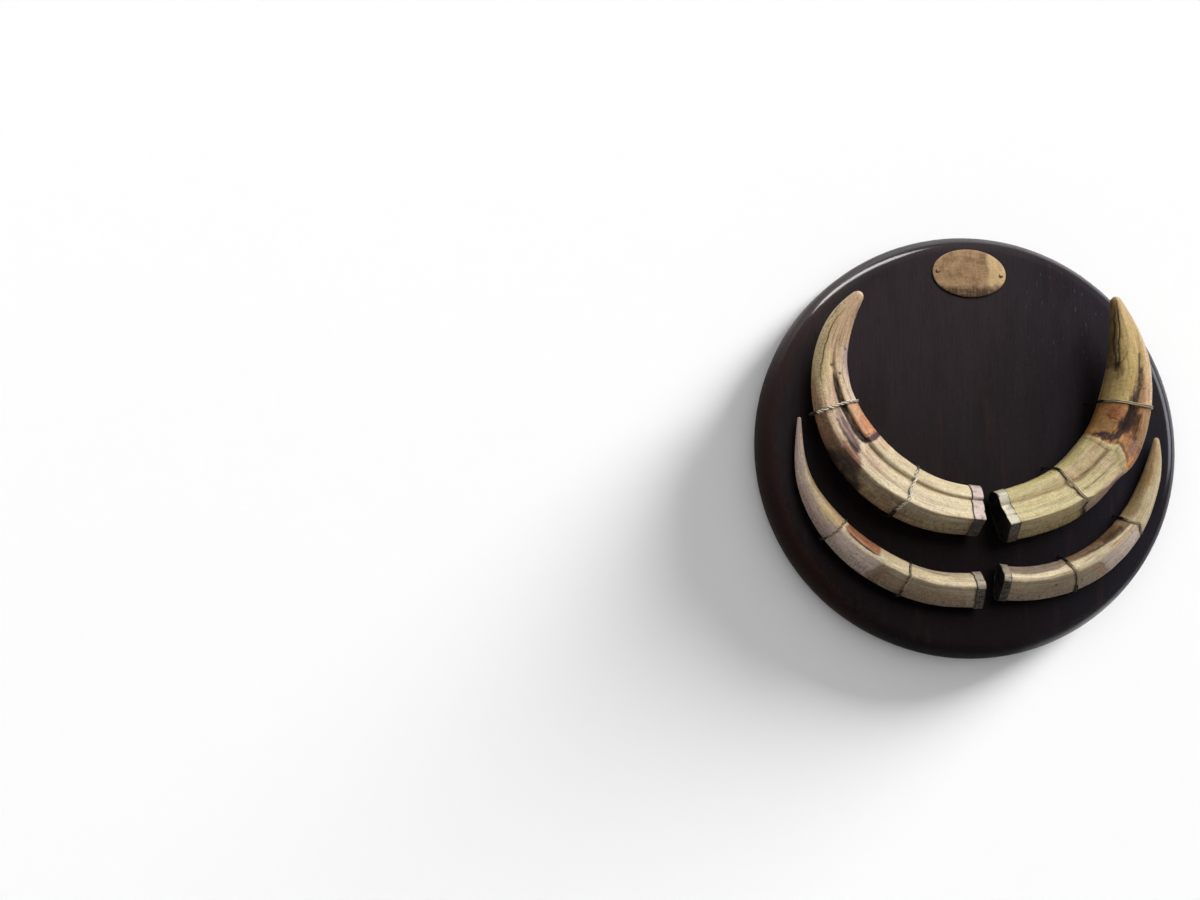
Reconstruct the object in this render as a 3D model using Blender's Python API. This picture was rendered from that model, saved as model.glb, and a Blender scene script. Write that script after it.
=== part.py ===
"""Warthog tusk shield: two pairs of tusks wired to a turned wooden wall board.

Metres, +Z up. The origin is the centre of the board's flat back, which hangs against a wall on its +Y side,
and the tusks face -Y. Each tusk, each silver collar, each end plate and each wire is a piece of its own.
"""
from math import cos, hypot, pi, radians, sin, sqrt

import bmesh
import bpy
import numpy as np
from mathutils import Vector

MM = 0.001
GAP = 0.3 * MM                      # air kept between neighbouring pieces

# Board, turned from one disc
BOARD_RADIUS = 150 * MM
BOARD_THICKNESS = 24 * MM
EDGE_INSET = 13 * MM                # how far the rounded edge runs in across the face
EDGE_HEIGHT = 16 * MM               # and how far it runs back from the face
BACK_CHAMFER = 1.5 * MM
BOARD_SIDES = 72
EDGE_STEPS = 7
DRILL_SIDES = 8
DRILL_OVERRUN = 2 * MM              # how far a drill starts outside the surface it cuts

# Tusks: share of the length, then centre x, centre z and full width at that share, in millimetres
SHARES = (0.0, 0.22, 0.45, 0.68, 0.86, 1.0)
TUSKS = {
    "upper_left": ((-4, -46, 32.5), (-44, -37.5, 36.5), (-86, -3.5, 36), (-104, 49, 24.5), (-97, 84, 17),
                   (-85, 102, 6.5)),
    "upper_right": ((10.5, -50.5, 34), (52, -37.5, 37), (79.5, -14, 36), (95.3, 16, 33.5), (98.5, 60, 25),
                    (89, 98, 6)),
    "lower_left": ((-2.5, -100, 23.5), (-41, -96.5, 23), (-84, -74.5, 22.5), (-113.3, -41.3, 15.8),
                   (-123.8, -11, 8), (-124, 20, 2.5)),
    "lower_right": ((10, -95, 23.5), (39.5, -95.5, 23), (78.5, -82, 22), (110.5, -49, 17.5),
                    (123.5, -17, 11), (126.5, 3, 3.5)),
}
# Cross-sections: across from -1 at the inner edge to 1 at the outer edge, and height as a share of the depth
UPPER_SECTION = ((-1, 0.44), (-0.87, 0.58), (-0.57, 0.74), (-0.3, 0.72), (-0.18, 0.79), (0.13, 0.87),
                 (0.42, 1.0), (0.56, 0.92), (0.82, 0.71), (1, 0.46), (0.95, 0.22), (0.7, 0.05), (0.3, 0),
                 (-0.3, 0), (-0.75, 0.07), (-0.96, 0.24))
LOWER_SECTION = ((-1, 0.4), (-0.83, 0.62), (-0.5, 0.86), (-0.2, 0.98), (0.05, 1.0), (0.35, 0.87), (0.72, 0.66),
                 (1, 0.42), (0.9, 0.17), (0.6, 0.02), (0.2, 0), (-0.3, 0), (-0.7, 0.05), (-0.93, 0.2))
# Depth over width, and the underside's height above the board in millimetres, at shares of the length
UPPER_DEPTH = ((0, 0.7), (0.22, 0.76), (1, 0.76))
LOWER_DEPTH = ((0, 0.6), (0.3, 0.66), (1, 0.7))
UPPER_LIFT = ((0, 1.4), (0.07, 1.4), (0.25, 0.4), (0.45, 0.4), (0.6, 2), (0.75, 7.5), (0.88, 15), (1, 24))
LOWER_LIFT = ((0, 1.4), (0.06, 1.4), (0.25, 0.4), (0.5, 0.4), (0.75, 1.5), (1, 5))
TUSK_RINGS = 26
TIP_STEPS = (0.5, 0.85)             # rings on the round end, as shares of its length
LENGTH_STEPS = 200                  # steps for measuring along the centre line

# Silver fittings at the cut end of each tusk
COLLAR_SHEET = 0.6 * MM
COLLAR_LENGTH = {"upper_left": 8.3 * MM, "upper_right": 6.8 * MM,
                 "lower_left": 6 * MM, "lower_right": 5.2 * MM}
PLATE_THICKNESS = 0.8 * MM
PLATE_RECESS = 0.1 * MM

# Binding wires: distance from the cut end along the tusk, inner wire first
WIRE_RADIUS = 0.6 * MM
WIRE_OFFSET = WIRE_RADIUS + GAP + 0.1 * MM
WIRE_AT = {"upper_left": (54 * MM, 129 * MM), "upper_right": (51.3 * MM, 122.8 * MM),
           "lower_left": (53.8 * MM, 112 * MM), "lower_right": (51.3 * MM, 107.7 * MM)}
HOLE_RADIUS = 1.05 * MM
HOLE_DEPTH = 9 * MM
LEG_DEPTH = 8 * MM

# Oval name plate with two pins
NAME_CENTRE = Vector((0.6 * MM, 0, 120.8 * MM))
NAME_SIZE = (52.5 * MM, 34 * MM)
NAME_THICKNESS = 0.9 * MM
NAME_BEVEL = 0.3 * MM
NAME_SIDES = 48
NAME_TILT = radians(-4.7)
PIN_SPREAD = 22.7 * MM
PIN_SHANK = 0.7 * MM
PIN_HEAD = 1.5 * MM
PIN_LENGTH = 8 * MM
PIN_POINT = 1 * MM
PIN_SIDES = 12


def clear_scene():
    for old in list(bpy.data.objects):
        bpy.data.objects.remove(old, do_unlink=True)


def material(name, colour, roughness, metallic=0.0):
    made = bpy.data.materials.new(name)
    made.use_nodes = True
    shader = made.node_tree.nodes["Principled BSDF"]
    shader.inputs["Base Color"].default_value = (*colour, 1.0)
    shader.inputs["Roughness"].default_value = roughness
    shader.inputs["Metallic"].default_value = metallic
    return made


def add_object(name, bm, finish):
    """Put a finished bmesh into the scene as one smooth-shaded object, faces pointing out."""
    bmesh.ops.recalc_face_normals(bm, faces=bm.faces)
    mesh = bpy.data.meshes.new(name)
    bm.to_mesh(mesh)
    bm.free()
    mesh.shade_smooth()
    mesh.set_sharp_from_angle(angle=radians(35))
    made = bpy.data.objects.new(name, mesh)
    made.data.materials.append(finish)
    bpy.context.scene.collection.objects.link(made)
    return made


def skin_rings(bm, rings, closed_loop=False):
    """Join rings of points with quads. Open runs get flat end faces."""
    loops = [[bm.verts.new(point) for point in ring] for ring in rings]
    count = len(loops[0])
    pairs = list(zip(loops, loops[1:]))
    if closed_loop:
        pairs.append((loops[-1], loops[0]))
    for low, high in pairs:
        for i in range(count):
            j = (i + 1) % count
            bm.faces.new((low[i], low[j], high[j], high[i]))
    if not closed_loop:
        bm.faces.new(loops[0][::-1])
        bm.faces.new(loops[-1])
    return loops


def natural_spline(knots, values):
    """A smooth curve through the values, as a function of the knot parameter giving value and slope."""
    x = np.array(knots, float)
    y = np.array(values, float)
    h = np.diff(x)
    size = len(x)
    matrix = np.eye(size)
    right = np.zeros(size)
    for i in range(1, size - 1):
        matrix[i, i - 1:i + 2] = h[i - 1], 2 * (h[i - 1] + h[i]), h[i]
        right[i] = 6 * ((y[i + 1] - y[i]) / h[i] - (y[i] - y[i - 1]) / h[i - 1])
    bend = np.linalg.solve(matrix, right)

    def at(t):
        i = int(np.clip(np.searchsorted(x, t) - 1, 0, size - 2))
        a, b = x[i + 1] - t, t - x[i]
        slope = (y[i + 1] - y[i]) / h[i]
        value = (bend[i] * a ** 3 + bend[i + 1] * b ** 3) / (6 * h[i])
        value += (y[i] / h[i] - bend[i] * h[i] / 6) * a + (y[i + 1] / h[i] - bend[i + 1] * h[i] / 6) * b
        rate = (bend[i + 1] * b ** 2 - bend[i] * a ** 2) / (2 * h[i]) + slope
        return value, rate - (bend[i + 1] - bend[i]) * h[i] / 6
    return at


def along(table, share):
    """Read a table of (share, value) pairs at one share of the length."""
    return float(np.interp(share, [row[0] for row in table], [row[1] for row in table]))


class Tusk:
    """One tusk's centre line, width, depth and lift, all read at a share of its length."""

    def __init__(self, name):
        rows = TUSKS[name]
        self.upper = name.startswith("upper")
        self.section = UPPER_SECTION if self.upper else LOWER_SECTION
        self.x, self.z, self.width = [natural_spline(SHARES, [row[i] * MM for row in rows]) for i in range(3)]
        steps = np.linspace(0, 1, LENGTH_STEPS + 1)
        line = np.array([(self.x(s)[0], self.z(s)[0]) for s in steps])
        walked = np.concatenate([[0], np.cumsum(np.hypot(*np.diff(line, axis=0).T))])
        self.length = float(walked[-1])
        self.share_at = lambda distance: float(np.interp(distance, walked, steps))
        # The outer edge of every tusk is the side away from the middle of the board
        self.side = 1.0 if name.endswith("left") else -1.0

    def frame(self, share):
        """Centre point on the board's face, direction along the tusk and direction across it."""
        x, dx = self.x(share)
        z, dz = self.z(share)
        size = hypot(dx, dz)
        ahead = Vector((dx / size, 0, dz / size))
        across = Vector((-ahead.z, 0, ahead.x)) * self.side
        return Vector((x, -BOARD_THICKNESS, z)), ahead, across

    def round_end(self):
        """The share where the round end begins."""
        return 1 - self.width(1.0)[0] / 2 / self.length

    def size(self, share):
        """Width, depth and the underside's height above the board."""
        width = self.width(share)[0]
        depth = width * along(UPPER_DEPTH if self.upper else LOWER_DEPTH, share)
        lift = along(UPPER_LIFT if self.upper else LOWER_LIFT, share) * MM
        past = max(0.0, (share - self.round_end()) / (1 - self.round_end()))
        narrowing = sqrt(1 - past ** 2)
        return width * narrowing, depth * narrowing, lift + depth * (1 - narrowing) / 2

    def ring(self, share, outline=None, shift=0.0):
        """The cross-section's points at a share, moved along the tusk by shift."""
        centre, ahead, across = self.frame(share)
        width, depth, lift = self.size(share)
        points = outline or [(u * width / 2, h * depth) for u, h in self.section]
        return [centre + ahead * shift + across * u + Vector((0, -(lift + h), 0)) for u, h in points]

    def outline(self, share, offset):
        """The cross-section at a share in metres, grown outwards by offset."""
        width, depth, _ = self.size(share)
        return grow_outline([(u * width / 2, h * depth) for u, h in self.section], offset)


def mitre(a, b, c, offset):
    """Where b lands when the sides a-b and b-c both move left by offset."""
    one, two = hypot(b[0] - a[0], b[1] - a[1]), hypot(c[0] - b[0], c[1] - b[1])
    left_one = (-(b[1] - a[1]) / one, (b[0] - a[0]) / one)
    left_two = (-(c[1] - b[1]) / two, (c[0] - b[0]) / two)
    spread = 1 + left_one[0] * left_two[0] + left_one[1] * left_two[1]
    return (b[0] + offset * (left_one[0] + left_two[0]) / spread,
            b[1] + offset * (left_one[1] + left_two[1]) / spread)


def grow_outline(points, offset):
    """Move each side of a closed clockwise outline outwards and meet the sides again at mitred corners."""
    following = points[1:] + points[:1]
    return [mitre(points[i - 1], points[i], following[i], offset) for i in range(len(points))]


def build_tusk(name, tusk, finish):
    start = tusk.share_at(PLATE_RECESS + PLATE_THICKNESS + GAP)
    tip = tusk.round_end()
    shares = [start + (tip - start) * i / (TUSK_RINGS - 1) for i in range(TUSK_RINGS)]
    shares += [tip + (1 - tip) * reach for reach in TIP_STEPS]
    bm = bmesh.new()
    loops = skin_rings(bm, [tusk.ring(share) for share in shares])
    end = next(face for face in bm.faces if set(face.verts) == set(loops[-1]))
    bmesh.ops.poke(bm, faces=[end])
    add_object(name + "_tusk", bm, finish)


def build_collar(name, tusk, finish):
    """A band of silver sheet around the cut end."""
    length = COLLAR_LENGTH[name]
    outside = GAP + COLLAR_SHEET
    rows = [(reach, outside) for reach in (0.0, length / 2, length)]
    rows = [(0.0, GAP)] + rows + [(length, GAP), (length / 2, GAP)]
    bm = bmesh.new()
    rings = []
    for distance, offset in rows:
        share = tusk.share_at(distance)
        rings.append(tusk.ring(share, tusk.outline(share, offset)))
    skin_rings(bm, rings, closed_loop=True)
    add_object(name + "_collar", bm, finish)


def build_end_plate(name, tusk, finish):
    """The flat plate that closes the collar."""
    bm = bmesh.new()
    outline = tusk.outline(0.0, 0.0)
    faces = (PLATE_RECESS, PLATE_RECESS + PLATE_THICKNESS)
    skin_rings(bm, [tusk.ring(0.0, outline, shift) for shift in faces])
    add_object(name + "_end_plate", bm, finish)


def wire_route(tusk, share):
    """Points of a binding wire: up one leg, over the crown of the tusk and down the other leg."""
    width, depth, lift = tusk.size(share)
    crown = [(u * width / 2, h * depth) for u, h in over_top(tusk.section)]
    reach = width / 2 + WIRE_OFFSET
    foot = -lift - LEG_DEPTH
    bends = [mitre(a, b, c, WIRE_OFFSET) for a, b, c in zip(crown, crown[1:], crown[2:])]
    route = [(-reach, foot), (-reach, crown[0][1]), *bends, (reach, crown[-1][1]), (reach, foot)]
    return tusk.ring(share, route)


def over_top(section):
    """The part of a cross-section that a taut wire touches, from its inner to its outer edge."""
    low = section.index(min(section))
    high = section.index(max(section))
    crown = []
    for point in section[low:high + 1]:
        while len(crown) > 1 and bulges_down(crown[-2], crown[-1], point):
            crown.pop()
        crown.append(point)
    return crown


def bulges_down(a, b, c):
    """Whether b lies on or under the straight line from a to c."""
    return (b[0] - a[0]) * (c[1] - a[1]) - (b[1] - a[1]) * (c[0] - a[0]) >= 0


def drill_out(target, name, runs, finish):
    """Cut straight holes out of an object. Each run is the hole's two end outlines."""
    bm = bmesh.new()
    for run in runs:
        skin_rings(bm, run)
    cutter = add_object(name, bm, finish)
    cutter.hide_render = True
    cutter.display_type = "WIRE"
    cut = target.modifiers.new(name, "BOOLEAN")
    cut.operation = "DIFFERENCE"
    cut.object = cutter


def circle(radius, sides):
    return [(radius * cos(2 * pi * i / sides), radius * sin(2 * pi * i / sides)) for i in range(sides)]


def build_wire(name, route, finish):
    curve = bpy.data.curves.new(name, "CURVE")
    curve.dimensions = "3D"
    curve.bevel_depth = WIRE_RADIUS
    curve.bevel_resolution = 2
    curve.use_fill_caps = True
    spline = curve.splines.new("POLY")
    spline.points.add(len(route) - 1)
    for point, place in zip(spline.points, route):
        point.co = (*place, 1.0)
    curve.materials.append(finish)
    made = bpy.data.objects.new(name, curve)
    bpy.context.scene.collection.objects.link(made)


def build_board(holes, finish):
    """A turned disc with a rounded front edge, drilled where wires and pins enter."""
    profile = [(BOARD_RADIUS - BACK_CHAMFER, 0.0), (BOARD_RADIUS, -BACK_CHAMFER)]
    for step in range(EDGE_STEPS + 1):
        turn = pi / 2 * step / EDGE_STEPS
        profile.append((BOARD_RADIUS - EDGE_INSET * (1 - cos(turn)),
                        EDGE_HEIGHT - BOARD_THICKNESS - EDGE_HEIGHT * sin(turn)))
    bm = bmesh.new()
    skin_rings(bm, [[Vector((x, y, z)) for x, z in circle(r, BOARD_SIDES)] for r, y in profile])
    board = add_object("backboard", bm, finish)
    ends = (HOLE_DEPTH - BOARD_THICKNESS, -DRILL_OVERRUN - BOARD_THICKNESS)
    bit = circle(HOLE_RADIUS, DRILL_SIDES)
    runs = [[[Vector((centre.x + x, y, centre.z + z)) for x, z in bit] for y in ends] for centre in holes]
    drill_out(board, "drill", runs, finish)


def plate_point(x, z, y):
    """A point of the name plate, from its own long and short axes."""
    return NAME_CENTRE + Vector((x * cos(NAME_TILT) - z * sin(NAME_TILT), y,
                                 x * sin(NAME_TILT) + z * cos(NAME_TILT)))


def build_name_plate(finish):
    """A bare oval plate with a hole near each end."""
    back = -BOARD_THICKNESS - GAP
    front = back - NAME_THICKNESS
    half_long, half_short = NAME_SIZE[0] / 2, NAME_SIZE[1] / 2
    rings = []
    for y, inset in ((back, 0.0), (front + NAME_BEVEL, 0.0), (front, NAME_BEVEL)):
        rings.append([plate_point((half_long - inset) * x, (half_short - inset) * z, y)
                      for x, z in circle(1.0, NAME_SIDES)])
    bm = bmesh.new()
    skin_rings(bm, rings)
    plate = add_object("name_plate", bm, finish)
    ends = (back + DRILL_OVERRUN, front - DRILL_OVERRUN)
    bit = circle(HOLE_RADIUS, PIN_SIDES)
    runs = [[[plate_point(side * PIN_SPREAD + x, z, y) for x, z in bit] for y in ends] for side in (-1, 1)]
    drill_out(plate, "punch", runs, finish)


def build_pin(name, centre, finish):
    """A round-headed pin through the name plate into the board."""
    face = -BOARD_THICKNESS - GAP - NAME_THICKNESS - GAP
    point = face + PIN_LENGTH
    profile = [(PIN_SHANK * 0.5, point), (PIN_SHANK, point - PIN_POINT), (PIN_SHANK, face), (PIN_HEAD, face),
               (PIN_HEAD * 0.85, face - PIN_HEAD * 0.35), (PIN_HEAD * 0.45, face - PIN_HEAD * 0.55)]
    rings = [[Vector((centre.x + x, y, centre.z + z)) for x, z in circle(r, PIN_SIDES)] for r, y in profile]
    bm = bmesh.new()
    skin_rings(bm, rings)
    add_object(name, bm, finish)


def main():
    clear_scene()
    wood = material("stained_wood", (0.03, 0.015, 0.012), 0.35)
    ivory = material("tusk_ivory", (0.72, 0.6, 0.4), 0.4)
    silver = material("silver_sheet", (0.8, 0.76, 0.72), 0.35, 1.0)
    wire = material("silver_wire", (0.75, 0.73, 0.7), 0.3, 1.0)
    brass = material("aged_brass", (0.5, 0.36, 0.16), 0.4, 1.0)
    holes = []
    for name in TUSKS:
        tusk = Tusk(name)
        build_tusk(name, tusk, ivory)
        build_collar(name, tusk, silver)
        build_end_plate(name, tusk, silver)
        for place, distance in zip(("inner", "outer"), WIRE_AT[name]):
            route = wire_route(tusk, tusk.share_at(distance))
            build_wire(f"{name}_{place}_wire", route, wire)
            holes += [route[0], route[-1]]
    pins = [plate_point(side * PIN_SPREAD, 0.0, 0.0) for side in (-1, 1)]
    build_board(holes + pins, wood)
    build_name_plate(brass)
    for name, centre in zip(("name_plate_pin_left", "name_plate_pin_right"), pins):
        build_pin(name, centre, brass)


main()
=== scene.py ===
# The finished look of a warthog tusk shield: two pairs of tusks wired to a dark turned board, on a pale wall.
# Metres, +Z up. The board's flat back is at Y = 0 and the tusks face -Y, as in the frame. A place on a tusk
# is its distance from the cut end in millimetres, and how far across it is in hundredths of half the width,
# from -100 at the inner edge, which faces the middle of the board, to 100 at the outer edge.
from math import cos, pi, radians, sin

import bpy
import numpy as np
from mathutils import Matrix, Vector


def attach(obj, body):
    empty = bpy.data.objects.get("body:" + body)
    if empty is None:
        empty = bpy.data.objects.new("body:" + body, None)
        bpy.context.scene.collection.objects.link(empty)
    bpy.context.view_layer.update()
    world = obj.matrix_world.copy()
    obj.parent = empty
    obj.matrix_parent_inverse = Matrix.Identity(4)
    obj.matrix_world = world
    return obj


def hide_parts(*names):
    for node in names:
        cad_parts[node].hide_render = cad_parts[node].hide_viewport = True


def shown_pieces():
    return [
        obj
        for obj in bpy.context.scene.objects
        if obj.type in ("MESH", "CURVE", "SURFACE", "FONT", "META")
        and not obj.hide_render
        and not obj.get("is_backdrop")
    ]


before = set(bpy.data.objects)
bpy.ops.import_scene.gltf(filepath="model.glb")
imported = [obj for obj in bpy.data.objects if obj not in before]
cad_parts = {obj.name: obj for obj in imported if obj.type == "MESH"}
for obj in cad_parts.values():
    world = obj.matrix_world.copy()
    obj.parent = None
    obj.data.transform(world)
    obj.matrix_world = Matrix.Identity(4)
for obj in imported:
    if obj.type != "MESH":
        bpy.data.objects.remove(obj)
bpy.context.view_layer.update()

MM = 0.001
FACING_Y = (pi / 2, 0, 0)

# Camera, where the shield was seen from
CAMERA_PLACE = (-0.2870, -0.6745, -0.0402)
CAMERA_TURN = (radians(-2.27), radians(93.46), radians(-0.78))     # round Z, round X, roll
LENS = 28.5

# Wall, floor and light
WALL_GAP = 1 * MM
WALL_HOLE = 147 * MM
WALL_REACH = 2.4
WALL_SIDES = 180
FLOOR_DROP = -1.25
FLOOR_SIZE = 8
FILL_STRENGTH = 0.06
KEY_FROM = (0.42, -0.61, 0.67)
# Soft far lights: where from, strength, angle in degrees, what is lit, and whether it is seen mirrored
SUNS = {
    "key_on_ivory": (KEY_FROM, 3.4, 50, "ivory", True),
    "key_on_wood": (KEY_FROM, 3.2, 50, "wood", False),
    "key_on_metal": (KEY_FROM, 2.2, 76, "metal", True),
    "glint": ((-0.15, -0.5, 0.85), 0.4, 22, "metal", True),
    "wall_skimmer": ((0.751, -0.199, 0.630), 9.15, 22, "wall", False),
    "wall_filler": ((0.10, -0.97, 0.20), 1.73, 120, "wall", False),
    "back_light": ((0, 1, 0), 2.2, 25, "shield", False),
}
# Panels that show only in the polish of the wood: place, aim, size, power and colour
PANELS = {
    "strip": ((-0.21, -0.25, 0.9), (-0.05, 0, 0.1), (0.78, 0.2), 6.6, (1, 1, 1)),
    "window": ((1.32, -0.6, 0.27), (0.1, 0, 0), (0.6, 0.7), 5.8, (0.9, 0.88, 1)),
}

# Board
BOARD_RADIUS = 150 * MM
BOARD_THICKNESS = 24 * MM
EDGE_INSET = 13 * MM
EDGE_HEIGHT = 16 * MM
BACK_CHAMFER = 1.5 * MM
FACE_INSET = 4 * MM
BOARD_SIDES = 288
EDGE_STEPS = 20
HOLE_RADIUS = 1.05 * MM
HOLE_DEPTH = 9 * MM
HOLE_SIDES = 16

# Tusks: centre x, centre z and full width in millimetres at shares of the length
SHARES = (0.0, 0.22, 0.45, 0.68, 0.86, 1.0)
TUSKS = {
    "upper_left": ((-4, -46, 32.5), (-44, -37.5, 36.5), (-86, -3.5, 36), (-104, 49, 24.5), (-97, 84, 17),
                   (-85, 102, 6.5)),
    "upper_right": ((10.5, -50.5, 34), (52, -37.5, 37), (79.5, -14, 36), (95.3, 16, 33.5),
                    (98.5, 60, 24.5), (89, 98, 6)),
    "lower_left": ((-2.5, -100, 23.5), (-41, -96.5, 23), (-84, -74.5, 22.5), (-113.3, -41.3, 15.8),
                   (-123.8, -11, 8), (-124, 20, 2.5)),
    "lower_right": ((10, -95, 23.5), (39.5, -95.5, 23), (78.5, -82, 22), (110.5, -49, 17.5),
                    (123.5, -17, 11), (126.5, 3, 3.5)),
}
# At shares of the length, from the cut end: depth as a share of the width, and height over the board in mm
DEPTH = {"upper": ((0, 0.7), (0.22, 0.76), (1, 0.76)), "lower": ((0, 0.6), (0.3, 0.66), (1, 0.7))}
LIFT = {"upper": ((0, 1.4), (0.07, 1.4), (0.25, 0.4), (0.45, 0.4), (0.6, 2), (0.75, 7.5), (0.88, 15),
                  (1, 24)),
        "lower": ((0, 1.4), (0.06, 1.4), (0.25, 0.4), (0.5, 0.4), (0.75, 1.5), (1, 5))}
LENGTH_STEPS = 200
TUSK_START = 1.2 * MM
TUSK_MESH = {"upper": (168, 480), "lower": (130, 430)}              # points round, rings along
END_RINGS = 26
TOP_SHARE = 0.8                                                     # of the points round, how many are on top
WELD = 2e-6

# Cross-sections at distances from the cut end: across, and height in hundredths of the depth. Each has the
# same points in the same order: up the inner side, over the top and back along the underside.
UNDERSIDE = [(100, 44), (97, 25), (75, 6), (30, 0), (-30, 0), (-75, 7), (-96, 25)]
UPPER_TIP = ((-100, 44), (-94, 62), (-82, 76), (-62, 88), (-38, 96), (-12, 99.5), (6, 100), (20, 98.5),
             (32, 96.5), (43, 93.5), (54, 89.5), (65, 84), (76, 76.5), (85, 68.5), (91, 61), (96, 53))
LOWER_SECTIONS = (
    (0, (-100, 40), (-95, 50), (-87, 60), (-76, 70), (-64, 80), (-56, 87.5), (-50, 94.5), (-40, 98.5),
     (-28, 100), (-17, 98.5), (-8, 94.5), (12, 88.5), (32, 81), (50, 73.5), (68, 65.5), (86, 55)),
    (60, (-100, 40), (-95, 51), (-88, 61), (-79, 70), (-68, 80), (-60, 87), (-53, 94.5), (-42, 98.5),
     (-30, 100), (-18, 98.5), (-8, 94.5), (12, 88.5), (32, 81), (50, 73.5), (68, 65), (86, 55)),
    (110, (-100, 40), (-96, 52), (-90, 63), (-82, 73), (-72, 83), (-62, 90), (-51, 96), (-38, 99), (-24, 100),
     (-9, 98.5), (7, 95), (24, 89.5), (41, 83), (58, 75), (74, 66), (88, 56)),
    (200, (-100, 42), (-95, 54), (-88, 65), (-79, 75), (-67, 84), (-54, 91), (-39, 96.5), (-22, 99.5),
     (-5, 99.5), (12, 97), (28, 92.5), (43, 87), (57, 80), (70, 72.5), (82, 63.5), (92, 54)),
)
SECTIONS = {
    "upper_left": (
        (0, (-100, 44), (-93, 55), (-80, 63.5), (-66, 70), (-54, 73.5), (-47, 72), (-40, 69.5), (-32, 72),
         (-22, 78.5), (-8, 84), (4, 86.8), (14, 90.5), (27, 97), (34.5, 100), (40.5, 95.5), (70, 70)),
        (45, (-100, 44), (-93, 56), (-80, 66), (-66, 73.5), (-54, 77.5), (-47, 76.5), (-40, 73.5),
         (-32, 76.5), (-22, 82.5), (-8, 87.5), (5, 89.5), (16, 93), (30, 98), (39.5, 100), (45.5, 95),
         (73, 68)),
        (80, (-100, 44), (-93, 58), (-80, 70), (-62, 80), (-47, 84.5), (-37, 83.5), (-28, 80.5), (-19, 84),
         (-8, 89), (7, 93), (20, 94), (30, 96.5), (42, 99), (52, 100), (58.5, 94.5), (80, 68)),
        (110, (-100, 44), (-93, 61), (-80, 73), (-62, 83), (-45, 88), (-34, 87.5), (-24, 82), (-15, 87.5),
         (-2, 93), (14, 96.5), (28, 97.5), (42, 98.5), (57, 100), (69, 98.5), (75.5, 91), (88, 68)),
        (135, (-100, 44), (-93, 62), (-80, 75), (-60, 86), (-38, 92), (-27, 91.5), (-17, 85), (-8, 90.5),
         (6, 95), (22, 97.5), (38, 98.5), (54, 98.5), (68, 96.5), (79, 92.5), (85, 85), (94, 66)),
        (165, (-100, 44), (-93, 63), (-80, 76.5), (-55, 90), (-28, 95.5), (-8, 96.5), (6, 93), (18, 95.5),
         (30, 96.5), (42, 96), (54, 94), (66, 90), (77, 83), (85, 75.5), (91, 68), (96, 57)),
        (215, *UPPER_TIP),
    ),
    "upper_right": (
        (0, (-100, 46), (-95, 58), (-87, 65.5), (-78, 67.5), (-66, 69.5), (-54, 70), (-44, 69.5), (-34, 73.5),
         (-22, 80), (-10, 85), (-2, 86.5), (7, 90.5), (19, 96.5), (27, 100), (33.5, 96), (67, 71)),
        (48, (-100, 46), (-96, 60), (-89, 69), (-78, 72.5), (-66, 75), (-52, 76), (-40, 75.5), (-30, 80),
         (-19, 86), (-10, 89.5), (-1, 90.5), (8, 93), (18, 97), (26.5, 100), (33, 95.5), (67, 70)),
        (58, (-100, 46), (-95.5, 60.5), (-86.5, 71), (-74, 75.5), (-60, 79), (-44, 80), (-31, 79),
         (-21, 83.5), (-11, 88.5), (-2, 91.5), (7, 92.5), (18, 94.5), (31, 97.5), (42, 100), (48, 95),
         (75, 69)),
        (70, (-100, 46), (-95, 61), (-84, 73), (-70, 78.5), (-54, 82.5), (-36, 84), (-22, 82.5), (-13, 87),
         (-3, 91.5), (6, 93.5), (15, 93.5), (26, 96), (41, 98.5), (54, 100), (60, 94.5), (82, 68)),
        (88, (-100, 46), (-94, 62), (-78, 76), (-62, 83), (-44, 87), (-26, 88.5), (-11, 87.5), (0, 90.5),
         (12, 94), (23, 95), (33, 95.5), (46, 98), (65, 100), (80, 97), (87, 88), (95, 66)),
        (120, (-100, 46), (-94, 63), (-80, 77), (-62, 87), (-42, 92.5), (-26, 93.5), (-12, 92.5), (-2, 89.5),
         (9, 88), (18, 90), (30, 94.5), (46, 96), (62, 95), (76, 90), (86, 82), (95, 65)),
        (150, (-100, 46), (-94, 64), (-80, 79), (-58, 91), (-34, 97), (-14, 98.5), (2, 97), (12, 94.5),
         (20, 93.5), (29, 94.5), (40, 95), (52, 93.5), (65, 89.5), (77, 83), (86, 75), (95, 61)),
        (215, *UPPER_TIP),
    ),
    "lower_left": LOWER_SECTIONS, "lower_right": LOWER_SECTIONS,
}
TOP_POINTS = len(UPPER_TIP)

# Silver fittings. A collar: its length in mm, how much painted shade darkens its underside, and its finish
COLLARS = {
    "upper_left": (8.3, 1.1, "silver_sheet_lilac"), "upper_right": (6.8, 0.6, "silver_sheet_pale"),
    "lower_left": (6, 0.6, "silver_sheet_grey"), "lower_right": (5.2, 0.9, "silver_sheet_grey"),
}
COLLAR_FACE = 0.78 * MM                                             # from the ivory to the sheet's outer face
COLLAR_SHEET = 0.4 * MM
COLLAR_MESH = (150, 26)
LIP_HEIGHT = 0.1 * MM
DENT_DEPTH = 0.09 * MM
DENT_WIDTH = 2.8 * MM
SEAM_DEPTH = 0.12 * MM
SEAM_AT = {"upper": 13.5, "lower": 9.4}                             # drawn points round the section
UNDER_FROM = {"upper": 13.1, "lower": 8.8}
COLLAR_SEED = 31
PLATE_SEED = 41
END_SECTION = 0.5 * MM
PLATE_POINTS = 120
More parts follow.
